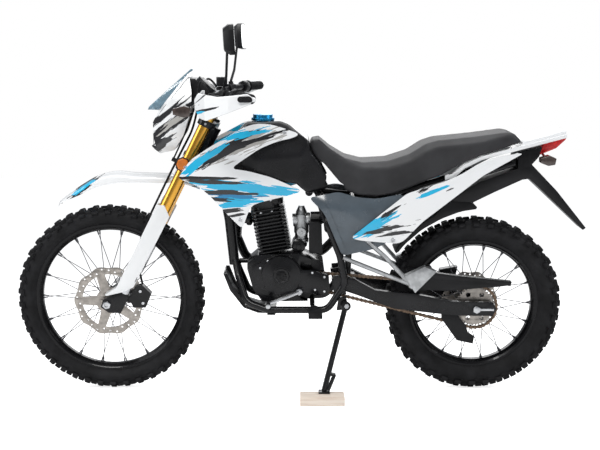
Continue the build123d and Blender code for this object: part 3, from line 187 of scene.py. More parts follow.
# %% A recipe for finishes
class Recipe:
    """One material: a shader, and the helpers that wire textures into it."""

    def __init__(self, name, colour, roughness=0.5, metallic=0.0):
        self.name = name
        self.material = bpy.data.materials.new(name)
        self.material.use_nodes = True
        self.material.diffuse_color = (*colour, 1.0)
        self.tree = self.material.node_tree
        self.shader = self.tree.nodes["Principled BSDF"]
        self.colour = colour
        self.shader.inputs["Base Color"].default_value = (*colour, 1.0)
        self.shader.inputs["Roughness"].default_value = roughness
        self.shader.inputs["Metallic"].default_value = metallic
        self.height = None

    def link(self, start, end):
        """Wires an output to an input."""
        self.tree.links.new(start, end)

    def add(self, kind, **settings):
        """A new node with its settings."""
        made = self.tree.nodes.new(kind)
        for key, value in settings.items():
            setattr(made, key, value)
        return made

    def place(self, stretch):
        """Object coordinates, stretched."""
        source = self.add("ShaderNodeTexCoord")
        mapping = self.add("ShaderNodeMapping")
        mapping.inputs["Scale"].default_value = stretch
        self.link(source.outputs["Object"], mapping.inputs["Vector"])
        return mapping.outputs["Vector"]

    def noise(self, scale, detail=4.0, roughness=0.55, stretch=(1.0, 1.0, 1.0)):
        """Cloudy value from 0 to 1 on Object coordinates."""
        texture = self.add("ShaderNodeTexNoise")
        texture.inputs["Scale"].default_value = scale
        texture.inputs["Detail"].default_value = detail
        texture.inputs["Roughness"].default_value = roughness
        self.link(self.place(stretch), texture.inputs["Vector"])
        return texture.outputs["Fac"]

    def ramp(self, value, *stops):
        """Colour ramp through (position, colour) stops."""
        made = self.add("ShaderNodeValToRGB")
        elements = made.color_ramp.elements
        elements[0].position, elements[0].color = stops[0][0], (*stops[0][1], 1.0)
        elements[1].position, elements[1].color = stops[-1][0], (*stops[-1][1], 1.0)
        for position, colour in stops[1:-1]:
            elements.new(position).color = (*colour, 1.0)
        self.link(value, made.inputs["Fac"])
        return made.outputs["Color"]

    def between(self, value, low, high):
        """A value from 0 to 1 carried to a range."""
        made = self.add("ShaderNodeMapRange")
        made.inputs["To Min"].default_value = low
        made.inputs["To Max"].default_value = high
        self.link(value, made.inputs["Value"])
        return made.outputs["Result"]

    def mix(self, factor, first, second):
        """Two colours mixed by a factor."""
        made = self.add("ShaderNodeMix", data_type="RGBA")
        self.link(factor, made.inputs["Factor"])
        for socket, value in (("A", first), ("B", second)):
            slot = [one for one in made.inputs if one.name == socket and one.type == "RGBA"][0]
            if isinstance(value, tuple):
                slot.default_value = (*value, 1.0)
            else:
                self.link(value, slot)
        return [one for one in made.outputs if one.type == "RGBA"][0]

    def tone(self, scale, low, high, stretch=(1.0, 1.0, 1.0)):
        """Base colour that drifts between two shades of itself."""
        shades = [tuple(min(1.0, part * factor) for part in self.colour) for factor in (low, high)]
        drift = self.noise(scale, 3.0, stretch=stretch)
        result = self.ramp(drift, (0.35, shades[0]), (0.65, shades[1]))
        self.link(result, self.shader.inputs["Base Color"])

    def sheen_change(self, scale, low, high):
        """Roughness that drifts between two values."""
        value = self.between(self.noise(scale, 5.0), low, high)
        self.link(value, self.shader.inputs["Roughness"])

    def bump(self, value, depth, strength=0.6):
        """Adds a height, in metres, to the surface."""
        made = self.add("ShaderNodeBump")
        made.inputs["Strength"].default_value = strength
        made.inputs["Distance"].default_value = depth
        self.link(value, made.inputs["Height"])
        if self.height is not None:
            self.link(self.height, made.inputs["Normal"])
        self.height = made.outputs["Normal"]
        self.link(self.height, self.shader.inputs["Normal"])

    def grain(self, scale, depth, strength=0.6):
        """Fine bumps all over; depth in metres."""
        self.bump(self.noise(scale, 3.0), depth, strength)

    def fed(self, kind, operation, values, **settings):
        """A node of sums, fed with sockets or plain values."""
        made = self.add(kind, operation=operation, **settings)
        for socket, value in zip(made.inputs, values):
            if isinstance(value, bpy.types.NodeSocket):
                self.link(value, socket)
            else:
                socket.default_value = value
        return made

    def maths(self, operation, *values, **settings):
        """Result of a sum with numbers."""
        return self.fed("ShaderNodeMath", operation, values, **settings).outputs[0]

    def vectors(self, operation, *values):
        """Result of a sum with vectors."""
        result = "Value" if operation in ("LENGTH", "DOT_PRODUCT") else "Vector"
        return self.fed("ShaderNodeVectorMath", operation, values).outputs[result]

    def shine(self, level):
        """How strongly the bare surface mirrors."""
        self.shader.inputs["Specular IOR Level"].default_value = level

    def coat(self, weight, roughness=0.08):
        """Clear lacquer on top."""
        self.shader.inputs["Coat Weight"].default_value = weight
        self.shader.inputs["Coat Roughness"].default_value = roughness


finishes = {}


def keep(recipe):
    """Files a finish under its name."""
    finishes[recipe.name] = recipe.material
    return recipe


# %% [markdown]
# ### Metals
# Powder-coated steel is black with a faint orange peel.  Bare steel and aluminium differ
# in tone and in how even their polish is.  The fork's outer tubes are anodised: a metal
# whose own colour is gold.

# %% Metals
powder_black = keep(Recipe("black_metal", (0.006, 0.006, 0.007), 0.30))
powder_black.tone(9.0, 0.7, 1.5)
powder_black.sheen_change(30.0, 0.20, 0.36)
powder_black.grain(900.0, 0.0003, 0.25)
powder_black.shine(0.22)
powder_black.coat(0.22, 0.05)

rim_black = keep(Recipe("black_rim", (0.005, 0.005, 0.006), 0.25, 0.35))
rim_black.sheen_change(40.0, 0.18, 0.34)
rim_black.shine(0.2)
rim_black.coat(0.2, 0.05)

bright_steel = keep(Recipe("bright_steel", (0.62, 0.63, 0.65), 0.22, 1.0))
bright_steel.tone(26.0, 0.82, 1.1)
bright_steel.sheen_change(70.0, 0.14, 0.34)

brake_steel = keep(Recipe("brake_steel", (0.40, 0.37, 0.34), 0.36, 1.0))
brake_steel.tone(60.0, 0.8, 1.15)
brake_steel.sheen_change(160.0, 0.26, 0.46)
brake_steel.grain(1500.0, 0.0002, 0.3)

chain_steel = keep(Recipe("chain_steel", (0.17, 0.12, 0.085), 0.45, 0.85))
chain_steel.tone(120.0, 0.6, 1.5)
chain_steel.sheen_change(200.0, 0.34, 0.62)

gold_anodised = keep(Recipe("gold_anodised", (0.78, 0.40, 0.055), 0.24, 1.0))
gold_anodised.tone(14.0, 0.9, 1.08, stretch=(1.0, 1.0, 0.3))
gold_anodised.sheen_change(90.0, 0.18, 0.3)
gold_anodised.coat(0.25, 0.06)

cast_aluminium = keep(Recipe("cast_aluminium", (0.52, 0.53, 0.54), 0.42, 1.0))
cast_aluminium.tone(40.0, 0.75, 1.12)
cast_aluminium.grain(700.0, 0.0004, 0.5)

blue_aluminium = keep(Recipe("blue_aluminium", (0.03, 0.32, 0.62), 0.28, 1.0))
blue_aluminium.sheen_change(90.0, 0.2, 0.34)

# %% [markdown]
# ### Plastics, rubber, lamps and wood
# Moulded panels are glossy and coloured in the mass, and their stripes are printed on a
# film that runs on from one panel to the next.  So the stripes are one table of patches in
# the machine's own coordinates, and every white piece shares it.  Mudguards and boxes have
# a fine leather grain.  Rubber is dull, lenses are tinted and let some light through, and
# the block under the stand is raw wood with long rings.

# %% Torn paint
fibre_turns = (11.0, 0.0, 120.0)
tear_depth = 4.4
edge_gain = 30.0


def upright(finish):
    """Metres along, across and up the machine itself, whatever its lean."""
    source = finish.add("ShaderNodeTexCoord")
    shifted = finish.vectors("SUBTRACT", source.outputs["Object"], tuple(ground_mark))
    whole = finish.add("ShaderNodeCombineXYZ")
    for socket, direction in zip(whole.inputs, (ahead, across, upward)):
        finish.link(finish.vectors("DOT_PRODUCT", shifted, tuple(direction)), socket)
    return whole.outputs["Vector"]


def streaks(finish, where, under, colour, middle, half, rise, tears, seed):
    """Torn painted patch; half sizes in millimetres, rise in degrees to the rear."""
    offset = finish.vectors("SUBTRACT", where, (middle[0] / 1000, 0.0, middle[1] / 1000))
    turn = finish.add("ShaderNodeVectorRotate", rotation_type="Y_AXIS")
    turn.inputs["Angle"].default_value = -radians(rise)
    finish.link(offset, turn.inputs["Vector"])
    laid = turn.outputs["Vector"]
    share = finish.vectors("MULTIPLY", laid, (1000 / half[0], 0.0, 1000 / half[1]))
    torn = finish.add("ShaderNodeTexNoise")
    torn.inputs["Scale"].default_value = 1.0
    torn.inputs["Detail"].default_value = 3.0
    fibres = finish.vectors("MULTIPLY_ADD", laid, fibre_turns, (seed, seed, seed))
    finish.link(fibres, torn.inputs["Vector"])
    jag = finish.maths("MULTIPLY_ADD", torn.outputs["Fac"], tears * tear_depth,
                       1.0 - tears * tear_depth / 2)
    edge = finish.maths("SUBTRACT", jag, finish.vectors("LENGTH", share))
    return finish.mix(finish.maths("MULTIPLY", edge, edge_gain, use_clamp=True), under, colour)


# %% [markdown]
# A streak is a soft oval whose edge is torn by a long, thin noise, because that gives
# the dry-brush look of such graphics without any picture.  The table is read from first
# to last, and each patch is laid over the ones before it, as a painter would work.

# %% White panels and their streaks
white_plastic = keep(Recipe("white_plastic", (0.86, 0.87, 0.88), 0.24))
white_plastic.sheen_change(22.0, 0.18, 0.3)
white_plastic.coat(0.5, 0.06)

ink_black = (0.012, 0.012, 0.014)
ink_blue = (0.012, 0.44, 0.72)
ink_deep = (0.008, 0.20, 0.42)
ink_grey = (0.40, 0.39, 0.37)
streak_table = (
    # colour, middle, half length and height, rise to the rear, tears
    (ink_grey, (850, 932), (150, 26), 22, 1.0),
    (ink_black, (905, 922), (105, 17), 27, 1.0),
    (ink_black, (822, 944), (120, 8), 16, 0.9),
    (ink_black, (930, 895), (70, 9), 30, 1.0),
    (ink_blue, (1012, 868), (70, 15), 38, 0.7),
    (ink_blue, (960, 905), (52, 9), 33, 0.9),
    (ink_blue, (865, 968), (66, 11), 14, 0.9),
    (ink_blue, (800, 975), (60, 5), 8, 0.9),
    (ink_blue, (850, 786), (185, 24), -9, 0.6),
    (ink_blue, (800, 768), (120, 12), -12, 0.9),
    (ink_deep, (890, 752), (90, 15), -5, 0.8),
    (ink_blue, (862, 728), (66, 15), 2, 0.7),
    (ink_black, (918, 768), (92, 8), -4, 1.0),
    (ink_black, (940, 745), (50, 6), -8, 1.0),
    (ink_black, (990, 822), (110, 6), -2, 0.5),
    (ink_black, (930, 806), (84, 6), -5, 0.9),
    (ink_black, (892, 700), (44, 8), 6, 0.9),
    (ink_black, (872, 684), (30, 4), 6, 0.9),
    (ink_blue, (398, 634), (92, 22), 26, 0.6),
    (ink_blue, (345, 672), (60, 9), 30, 0.9),
    (ink_black, (330, 634), (80, 9), 10, 1.0),
    (ink_black, (300, 616), (50, 7), 8, 1.0),
    (ink_black, (318, 694), (56, 6), 34, 0.9),
    (ink_blue, (165, 768), (62, 7), 22, 0.7),
    (ink_black, (205, 772), (36, 5), 26, 0.9),
    (ink_black, (112, 774), (22, 4), 20, 0.6),
    (ink_black, (1130, 1030), (120, 10), 38, 0.9),
    (ink_black, (1120, 1000), (130, 11), 38, 0.9),
    (ink_black, (1140, 968), (110, 12), 37, 0.9),
    (ink_grey, (1090, 1012), (70, 9), 38, 0.9),
    (ink_black, (1152, 925), (64, 20), 34, 0.6),
    (ink_black, (958, 1072), (50, 7), 14, 0.9),
    (ink_blue, (985, 1062), (24, 4), 14, 0.7),
    (ink_black, (1452, 748), (70, 9), 34, 0.9),
    (ink_black, (1420, 782), (50, 5), 30, 0.9),
    (ink_blue, (1436, 764), (56, 6), 34, 0.8),
    (ink_black, (1212, 470), (90, 9), 62, 0.6),
)
seed_step = 3.7
panel_place = upright(white_plastic)
panel_colour = (0.84, 0.85, 0.86)
for number, (colour, middle, half, rise, tears) in enumerate(streak_table):
    panel_colour = streaks(white_plastic, panel_place, panel_colour, colour, middle, half, rise,
                           tears, number * seed_step)
white_plastic.link(panel_colour, white_plastic.shader.inputs["Base Color"])
print("streaks", len(streak_table))

# %% Black and grey plastics
black_plastic = keep(Recipe("black_plastic", (0.007, 0.007, 0.008), 0.36))
black_plastic.tone(12.0, 0.8, 1.4)
black_plastic.grain(1300.0, 0.0002, 0.35)
black_plastic.shine(0.26)

grey_plastic = keep(Recipe("grey_plastic", (0.060, 0.078, 0.095), 0.26))
grey_plastic.tone(10.0, 0.85, 1.2)
grey_plastic.sheen_change(30.0, 0.2, 0.32)
grey_plastic.coat(0.4, 0.1)
grey_plastic.grain(1500.0, 0.0002, 0.3)

# %% Rubber
black_rubber = keep(Recipe("black_rubber", (0.008, 0.008, 0.009), 0.66))
black_rubber.tone(30.0, 0.7, 1.6)
black_rubber.grain(900.0, 0.0003, 0.4)
black_rubber.shine(0.22)

tyre_rubber = keep(Recipe("black_tyre_rubber", (0.009, 0.009, 0.010), 0.62))
tyre_rubber.tone(18.0, 0.7, 1.6)
tyre_rubber.sheen_change(45.0, 0.5, 0.78)
tyre_rubber.grain(420.0, 0.0006, 0.4)
tyre_rubber.shine(0.2)

# %% Lamps, screen and wood
lamp_glass = keep(Recipe("lamp_glass", (0.05, 0.055, 0.06), 0.10))
lamp_glass.coat(1.0, 0.03)
lamp_glass.bump(lamp_glass.noise(60.0, 0.0, stretch=(0.2, 1.0, 0.2)), 0.002, 0.3)

clear_plastic = keep(Recipe("clear_plastic", (0.22, 0.34, 0.42), 0.10))
clear_plastic.shader.inputs["Transmission Weight"].default_value = 0.45
clear_plastic.tone(6.0, 0.85, 1.15)

amber_lens = keep(Recipe("amber_lens", (0.9, 0.24, 0.02), 0.16))
amber_lens.shader.inputs["Transmission Weight"].default_value = 0.25
amber_lens.tone(30.0, 0.8, 1.1)

red_lens = keep(Recipe("red_lens", (0.72, 0.02, 0.02), 0.14))
red_lens.shader.inputs["Transmission Weight"].default_value = 0.25
red_lens.tone(30.0, 0.75, 1.15)

bare_wood = keep(Recipe("bare_wood", (0.72, 0.56, 0.42), 0.75))
rings = bare_wood.noise(16.0, 6.0, 0.6, stretch=(0.35, 6.0, 6.0))
wood_tone = bare_wood.ramp(rings, (0.3, (0.66, 0.52, 0.42)), (0.55, (0.84, 0.74, 0.64)),
                           (0.8, (0.90, 0.83, 0.75)))
bare_wood.link(wood_tone, bare_wood.shader.inputs["Base Color"])
bare_wood.bump(rings, 0.0012, 0.5)

seat_cover = keep(Recipe("seat_cover", (0.022, 0.022, 0.024), 0.55))
seat_cover.tone(8.0, 0.8, 1.4)
seat_cover.grain(600.0, 0.0006, 0.5)
seat_cover.shine(0.32)
print("finishes", sorted(finishes))

# %% Give each solid its finish
slot_of = {row["node"]: row["material_slot"] for row in frame["record"]["subparts"]}
for name, solid in frame["nodes"].items():
    finish = finishes[slot_of[name]]
    for slot in solid.material_slots:
        slot.material = finish
    if not solid.material_slots:
        solid.data.materials.append(finish)
print("dressed", len(slot_of), "solids in", len(set(slot_of.values())), "finishes")

# %% [markdown]
# ## Small workshop
# Six ways of making a form cover the whole machine.  Turned forms are profiles spun about
# an axis, tubes are lines with a round section, plates are filled outlines with a depth,
# and moulded skins are outlines filled with small faces, pushed out and given a wall.
# Solids that are already right only lose their sharp edges, or are melted where the real
# one is rounded all over.

# %% Meshes into pieces
def plain(maker):
    """The mesh of an object as evaluated; the object itself goes away."""
    graph = bpy.context.evaluated_depsgraph_get()
    graph.update()
    result = bpy.data.meshes.new_from_object(maker.evaluated_get(graph))
    maker.modifiers.clear()
    bpy.data.objects.remove(maker)
    return result


def evaluated(data, *modifiers):
    """The mesh of a mesh or a curve after a list of (kind, settings) modifiers."""
    maker = shown("maker", data)
    for kind, settings in modifiers:
        modifier = maker.modifiers.new(kind.lower(), kind)
        for key, value in settings.items():
            setattr(modifier, key, value)
    return plain(maker)


def bevel(width, segments=2, corner=50):
    """A bevel for every edge that turns by more than a corner, in degrees."""
    return "BEVEL", {"width": width, "segments": segments, "limit_method": "ANGLE",
                     "angle_limit": radians(corner)}


def as_mesh(form, name):
    """The mesh of a form, which is then freed."""
    mesh = bpy.data.meshes.new(name)
    form.to_mesh(mesh)
    form.free()
    return mesh


def piece(name, mesh, finish, body, stands_for=(), angle=38.0, placed=False):
    """Lays a mesh in its place, dresses it, hangs it on its body, hides what it stands for."""
    if not placed:
        mesh.transform(machine)
    mesh.materials.clear()
    mesh.materials.append(finish.material)
    mesh.polygons.foreach_set("material_index", [0] * len(mesh.polygons))
    mesh.shade_smooth()
    mesh.set_sharp_from_angle(angle=radians(angle))
    mesh.name = name
    made = shown(name, mesh)
    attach(made, body)
    if stands_for:
        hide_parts(*stands_for)
    print(name, len(mesh.polygons), "faces on", body)
    return made


def joined(*meshes):
    """Several meshes as one."""
    form = bmesh.new()
    for mesh in meshes:
        form.from_mesh(mesh)
    return as_mesh(form, "joined")


def both_sides(mesh):
    """The mesh with its mirror image across the machine's middle plane."""
    form = bmesh.new()
    form.from_mesh(mesh)
    twin = bmesh.ops.duplicate(form, geom=form.verts[:] + form.edges[:] + form.faces[:])["geom"]
    for vertex in [one for one in twin if isinstance(one, bmesh.types.BMVert)]:
        vertex.co.y = -vertex.co.y
    turned_over = [one for one in twin if isinstance(one, bmesh.types.BMFace)]
    bmesh.ops.reverse_faces(form, faces=turned_over)
    return as_mesh(form, "pair")


# %% Turned forms
def turned(profile, start, direction, sides=64, ring=False):
    """Form spun about an axis from (distance along it, radius) points; a ring has no ends."""
    axis = Vector(direction).normalized()
    first = axis.orthogonal().normalized()
    second = axis.cross(first)
    form = bmesh.new()
    loops = []
    for along, radius in profile:
        middle = Vector(start) + axis * along
        if radius < 1e-6:
            loops.append([form.verts.new(middle)])
        else:
            loops.append([form.verts.new(middle + (first * cos(2 * pi * step / sides)
                                                   + second * sin(2 * pi * step / sides)) * radius)
                          for step in range(sides)])
    pairs = list(zip(loops, loops[1:] + loops[:1]))
    for low, high in (pairs if ring else pairs[:-1]):
        for step in range(sides):
            after = (step + 1) % sides
            if len(low) == 1 and len(high) == 1:
                continue
            if len(low) == 1:
                form.faces.new((low[0], high[after], high[step]))
            elif len(high) == 1:
                form.faces.new((low[step], low[after], high[0]))
            else:
                form.faces.new((low[step], low[after], high[after], high[step]))
    bmesh.ops.recalc_face_normals(form, faces=form.faces[:])
    return as_mesh(form, "turned")


def disc_profile(low, high, radius, edge=1.0):
    """Profile of a plain cylinder with softened edges."""
    return [(low, 0.0), (low, radius - edge), (low + edge, radius),
            (high - edge, radius), (high, radius - edge), (high, 0.0)]


def mirrored(profile):
    """A profile's other half, so that the two halves make a whole."""
    return [(-along, radius) for along, radius in reversed(profile)]


# %% Lines with a round section
def new_line(radius, round_steps, steps=12):
    """Empty curve that a circle will be swept along."""
    line = bpy.data.curves.new("line", "CURVE")
    line.dimensions = "3D"
    line.bevel_depth = radius
    line.bevel_resolution = round_steps
    line.resolution_u = steps
    line.use_fill_caps = True
    return line


def add_spline(line, kind, points):
    """One more run of points in a curve."""
    spline = line.splines.new(kind)
    spline.points.add(len(points) - 1)
    for index, place in enumerate(points):
        spline.points[index].co = (*place, 1.0)
    return spline


def smooth_spline(line, points):
    """Smooth run that the points pull towards themselves; it starts and ends on them."""
    spline = add_spline(line, "NURBS", points)
    spline.order_u = 3
    spline.use_endpoint_u = True
    return spline


# %% Plates and moulded skins
def eased(outline, reach=14.0, rounds=2):
    """Closed outline with its corners cut, so that short straight runs read as a curve."""
    for _ in range(rounds):
        cut = []
        for index, here in enumerate(outline):
            here = Vector(here)
            before = Vector(outline[index - 1])
            after = Vector(outline[(index + 1) % len(outline)])
            for other in (before, after):
                run = other - here
                share = min(0.25, reach / max(run.length, 1e-6))
                cut.append(tuple(here + run * share))
        outline = cut
        reach *= 0.4
    return outline


def inside(x, z, outline):
    """Whether a point lies inside a closed outline."""
    found = False
    for index, (x1, z1) in enumerate(outline):
        x2, z2 = outline[index - 1]
        if (z1 > z) != (z2 > z) and x < (x2 - x1) * (z - z1) / (z2 - z1) + x1:
            found = not found
    return found


def stepped(loop, spacing):
    """Closed loop with extra points, so that no side is much longer than the spacing."""
    ring = []
    for index, here in enumerate(loop):
        run = Vector(loop[(index + 1) % len(loop)]) - Vector(here)
        parts = max(1, int(run.length // spacing))
        ring += [Vector(here) + run * step / parts for step in range(parts)]
    return ring


def thick(sheet, wall, edge=0.8):
    """A sheet given a wall, inwards, and a softened rim."""
    return evaluated(sheet, ("SOLIDIFY", {"thickness": wall, "offset": -1.0}), bevel(edge))


def skin(outline, depth, wall, spacing, reach):
    """Thin moulding: an outline in x and z filled with small faces; depth(x, z) is its y."""
    rim = eased(outline, reach)
    border = stepped(rim, spacing)
    clearance = (0.45 * spacing) ** 2
    points = list(border)
    left, right = min(p.x for p in border), max(p.x for p in border)
    low, high = min(p.y for p in border), max(p.y for p in border)
    x = left + spacing / 2
    while x < right:
        z = low + spacing / 2
        while z < high:
            here = Vector((x, z))
            if inside(x, z, rim) and min((here - p).length_squared for p in border) > clearance:
                points.append(here)
            z += spacing
        x += spacing
    edges = [(index, (index + 1) % len(border)) for index in range(len(border))]
    flat = delaunay_2d_cdt(points, edges, [], 0, 1e-4)
    form = bmesh.new()
    corners = [form.verts.new((place.x, depth(place.x, place.y), place.y)) for place in flat[0]]
    for face in flat[2]:
        middle = sum((flat[0][index] for index in face), Vector((0.0, 0.0))) / len(face)
        if inside(middle.x, middle.y, rim):
            form.faces.new([corners[index] for index in face])
    for vertex in [one for one in form.verts if not one.link_faces]:
        form.verts.remove(vertex)
    bmesh.ops.recalc_face_normals(form, faces=form.faces[:])
    if sum(face.normal.y for face in form.faces) < 0:
        bmesh.ops.reverse_faces(form, faces=form.faces[:])
    return thick(as_mesh(form, "sheet"), wall)


def plate(outline, low, high, holes=(), edge=0.8, round_edges=2):
    """Flat plate across the machine between two distances, with holes and softened edges."""
    line = bpy.data.curves.new("outline", "CURVE")
    line.dimensions = "2D"
    line.fill_mode = "BOTH"
    line.extrude = (high - low) / 2 - edge
    line.bevel_depth = edge
    line.bevel_resolution = round_edges
    for loop in (outline, *holes):
        add_spline(line, "POLY", [(x, z, 0.0) for x, z in loop]).use_cyclic_u = True
    line.offset = -edge
    form = bmesh.new()
    form.from_mesh(evaluated(line))
    upended = Matrix.Rotation(radians(90), 4, "X")
    stand_up = Matrix.Translation((0.0, (low + high) / 2, 0.0)) @ upended
    bmesh.ops.transform(form, matrix=stand_up, verts=form.verts[:])
    bmesh.ops.remove_doubles(form, verts=form.verts[:], dist=0.01)
    bmesh.ops.recalc_face_normals(form, faces=form.faces[:])
    return as_mesh(form, "plate")


def circle(x, z, radius, sides=16, start=0.0):
    """Closed ring of points; start is a share of one step."""
    angles = [2 * pi * (step + start) / sides for step in range(sides)]
    return [(x + radius * cos(angle), z + radius * sin(angle)) for angle in angles]


def hole(x, z, radius, sides=16):
    """The same ring the other way round, as a hole in a plate."""
    return circle(x, z, radius, sides)[::-1]


def at_distance(points, y):
    """Points of a flat drawing, moved out to a distance from the middle plane."""
    return [Vector((x, y, z)) for x, z in points]


# %% Solids with softer edges
def merged(node):
    """Copy of a solid's mesh whose flat faces are whole again."""
    form = bmesh.new()
    form.from_mesh(frame["nodes"][node].data)
    bmesh.ops.remove_doubles(form, verts=form.verts[:], dist=0.00001)
    bmesh.ops.dissolve_limit(form, angle_limit=radians(0.6), verts=form.verts[:],
                             edges=form.edges[:])
    return as_mesh(form, node)


def softened(node, width, segments):
    """A solid with rounded edges, in place; width in millimetres."""
    return evaluated(merged(node), bevel(width / 1000, segments, 28))


def melted(node, grain, rounds):
    """A solid rounded all over: remade of small even faces and relaxed; grain in millimetres."""
    return evaluated(merged(node), ("REMESH", {"mode": "VOXEL", "voxel_size": grain / 1000}),
                     ("SMOOTH", {"factor": 0.6, "iterations": rounds}))


def soft_piece(node, width, segments, finish, body, angle=40.0):
    """Shows a solid's softened copy in its stead."""
    return piece(node, softened(node, width, segments), finish, body, (node,),
                 angle, placed=True)


# %% [markdown]
# ## Three small geometry node trees
# Much of a motorcycle is one form many times over: tread blocks and spokes go round an
# axle, fins stand in a row, and bolts and rollers sit at given places.  Each of these is
# a tree with named inputs, whose result is turned into a plain mesh.

# %% A start for each tree
def new_tree(name, *sockets):
    """Empty tree with a geometry input and output and the named inputs."""
    tree = bpy.data.node_groups.new(name, "GeometryNodeTree")
    tree.interface.new_socket("Form", in_out="INPUT", socket_type="NodeSocketGeometry")
    keys = {}
    for label, kind in sockets:
        keys[label] = tree.interface.new_socket(label, in_out="INPUT", socket_type=kind).identifier
    tree.interface.new_socket("Form", in_out="OUTPUT", socket_type="NodeSocketGeometry")
    entry = tree.nodes.new("NodeGroupInput")
    leave = tree.nodes.new("NodeGroupOutput")
    return tree, keys, entry, leave


def wire(tree, *pairs):
    """Links each output to its input."""
    for start, end in pairs:
        tree.links.new(start, end)


def close_tree(tree, entry, leave, copies):
    """Ends a tree: copies become real faces and take the finish."""
    real = tree.nodes.new("GeometryNodeRealizeInstances")
    dress = tree.nodes.new("GeometryNodeSetMaterial")
    wire(tree, (copies, real.inputs["Geometry"]),
         (real.outputs["Geometry"], dress.inputs["Geometry"]),
         (entry.outputs["Finish"], dress.inputs["Material"]),
         (dress.outputs["Geometry"], leave.inputs[0]))


def run_tree(tree, keys, mesh, finish, **values):
    """Plain mesh that a tree makes from a mesh and its named inputs."""
    maker = shown("maker", mesh)
    modifier = maker.modifiers.new("repeat", "NODES")
    modifier.node_group = tree
    for label, value in {"Finish": finish.material, **values}.items():
        modifier[keys[label]] = value
    return plain(maker)


# %% Round an axle
around_tree, around_keys, entry, leave = new_tree(
    "copies_round_an_axle", ("Copies", "NodeSocketInt"), ("Turn", "NodeSocketFloat"),
    ("Finish", "NodeSocketMaterial"))
centres = around_tree.nodes.new("GeometryNodeMeshLine")
centres.inputs["Offset"].default_value = (0.0, 0.0, 0.0)
wheel_copies = around_tree.nodes.new("GeometryNodeInstanceOnPoints")
count = around_tree.nodes.new("GeometryNodeInputIndex")
turn_by = around_tree.nodes.new("ShaderNodeMath")
turn_by.operation = "MULTIPLY"
spin = around_tree.nodes.new("ShaderNodeCombineXYZ")
wire(around_tree, (entry.outputs["Copies"], centres.inputs["Count"]),
     (count.outputs["Index"], turn_by.inputs[0]),
     (entry.outputs["Turn"], turn_by.inputs[1]),
     (turn_by.outputs[0], spin.inputs["Y"]),
     (centres.outputs["Mesh"], wheel_copies.inputs["Points"]),
     (entry.outputs["Form"], wheel_copies.inputs["Instance"]),
     (spin.outputs["Vector"], wheel_copies.inputs["Rotation"]))
close_tree(around_tree, entry, leave, wheel_copies.outputs["Instances"])


def around(mesh, copies, finish):
    """Copies of a mesh, drawn about the origin, evenly spaced round the axle's direction."""
    return run_tree(around_tree, around_keys, mesh, finish, Copies=copies, Turn=2 * pi / copies)


# %% In a row
row_tree, row_keys, entry, leave = new_tree(
    "copies_in_a_row", ("Copies", "NodeSocketInt"), ("Step", "NodeSocketVector"),
    ("Finish", "NodeSocketMaterial"))
row_points = row_tree.nodes.new("GeometryNodeMeshLine")
row_copies = row_tree.nodes.new("GeometryNodeInstanceOnPoints")
wire(row_tree, (entry.outputs["Copies"], row_points.inputs["Count"]),
     (entry.outputs["Step"], row_points.inputs["Offset"]),
     (row_points.outputs["Mesh"], row_copies.inputs["Points"]),
     (entry.outputs["Form"], row_copies.inputs["Instance"]))
close_tree(row_tree, entry, leave, row_copies.outputs["Instances"])


def in_a_row(mesh, copies, step, finish):
    """Copies of a mesh, each a step further."""
    return run_tree(row_tree, row_keys, mesh, finish, Copies=copies, Step=tuple(step))


# %% At given places
spot_tree, spot_keys, entry, leave = new_tree(
    "copies_at_places", ("Head", "NodeSocketObject"), ("Facing", "NodeSocketVector"),
    ("Finish", "NodeSocketMaterial"))
head_info = spot_tree.nodes.new("GeometryNodeObjectInfo")
spot_copies = spot_tree.nodes.new("GeometryNodeInstanceOnPoints")
aim = spot_tree.nodes.new("FunctionNodeAlignRotationToVector")
aim.axis = "Z"
wire(spot_tree, (entry.outputs["Head"], head_info.inputs["Object"]),
     (entry.outputs["Form"], spot_copies.inputs["Points"]),
     (head_info.outputs["Geometry"], spot_copies.inputs["Instance"]),
     (entry.outputs["Facing"], aim.inputs["Vector"]),
     (aim.outputs["Rotation"], spot_copies.inputs["Rotation"]))
close_tree(spot_tree, entry, leave, spot_copies.outputs["Instances"])


def at_places(head_mesh, places, facing, finish):
    """Copies of a small form, drawn along z, at each place, facing one way."""
    head = shown("head", head_mesh)
    cloud = bpy.data.meshes.new("places")
    cloud.from_pydata([tuple(place) for place in places], [], [])
    result = run_tree(spot_tree, spot_keys, cloud, finish, Head=head, Facing=tuple(facing))
    bpy.data.objects.remove(head)
    return result


# %% [markdown]
# ### Screws
# Nearly every screw that shows is a cap screw: a short drum with a socket sunk in it.
# It is turned once in each size and then copied by the last tree.

# %% A screw's head
def bolt_head(size, height):
    """Cap screw with a socket, standing on the origin along z; size is its radius."""
    return turned([(0.0, 0.0), (0.0, size), (height * 0.75, size), (height, size * 0.85),
                   (height, size * 0.5), (height * 0.5, size * 0.45), (height * 0.5, 0.0)],
                  (0, 0, 0), (0, 0, 1), 12)


def screws(size, height, places, side=1):
    """Bright cap screws that face the machine's left (1) or right (-1)."""
    return at_places(bolt_head(size, height), places, (0, side, 0), bright_steel)


print("workshop ready")

# %% [markdown]
# ## Tyres
# A knobbly off-road tyre is a round carcass with rows of separate rubber blocks.  The
# carcass is a turned ring whose profile runs from bead to bead.  One pitch of the tread,
# with two crown blocks, four leaning shoulder lugs and two ribs on the walls, is modelled
# once and copied round the axle by the tree, as the real mould repeats it in that way.

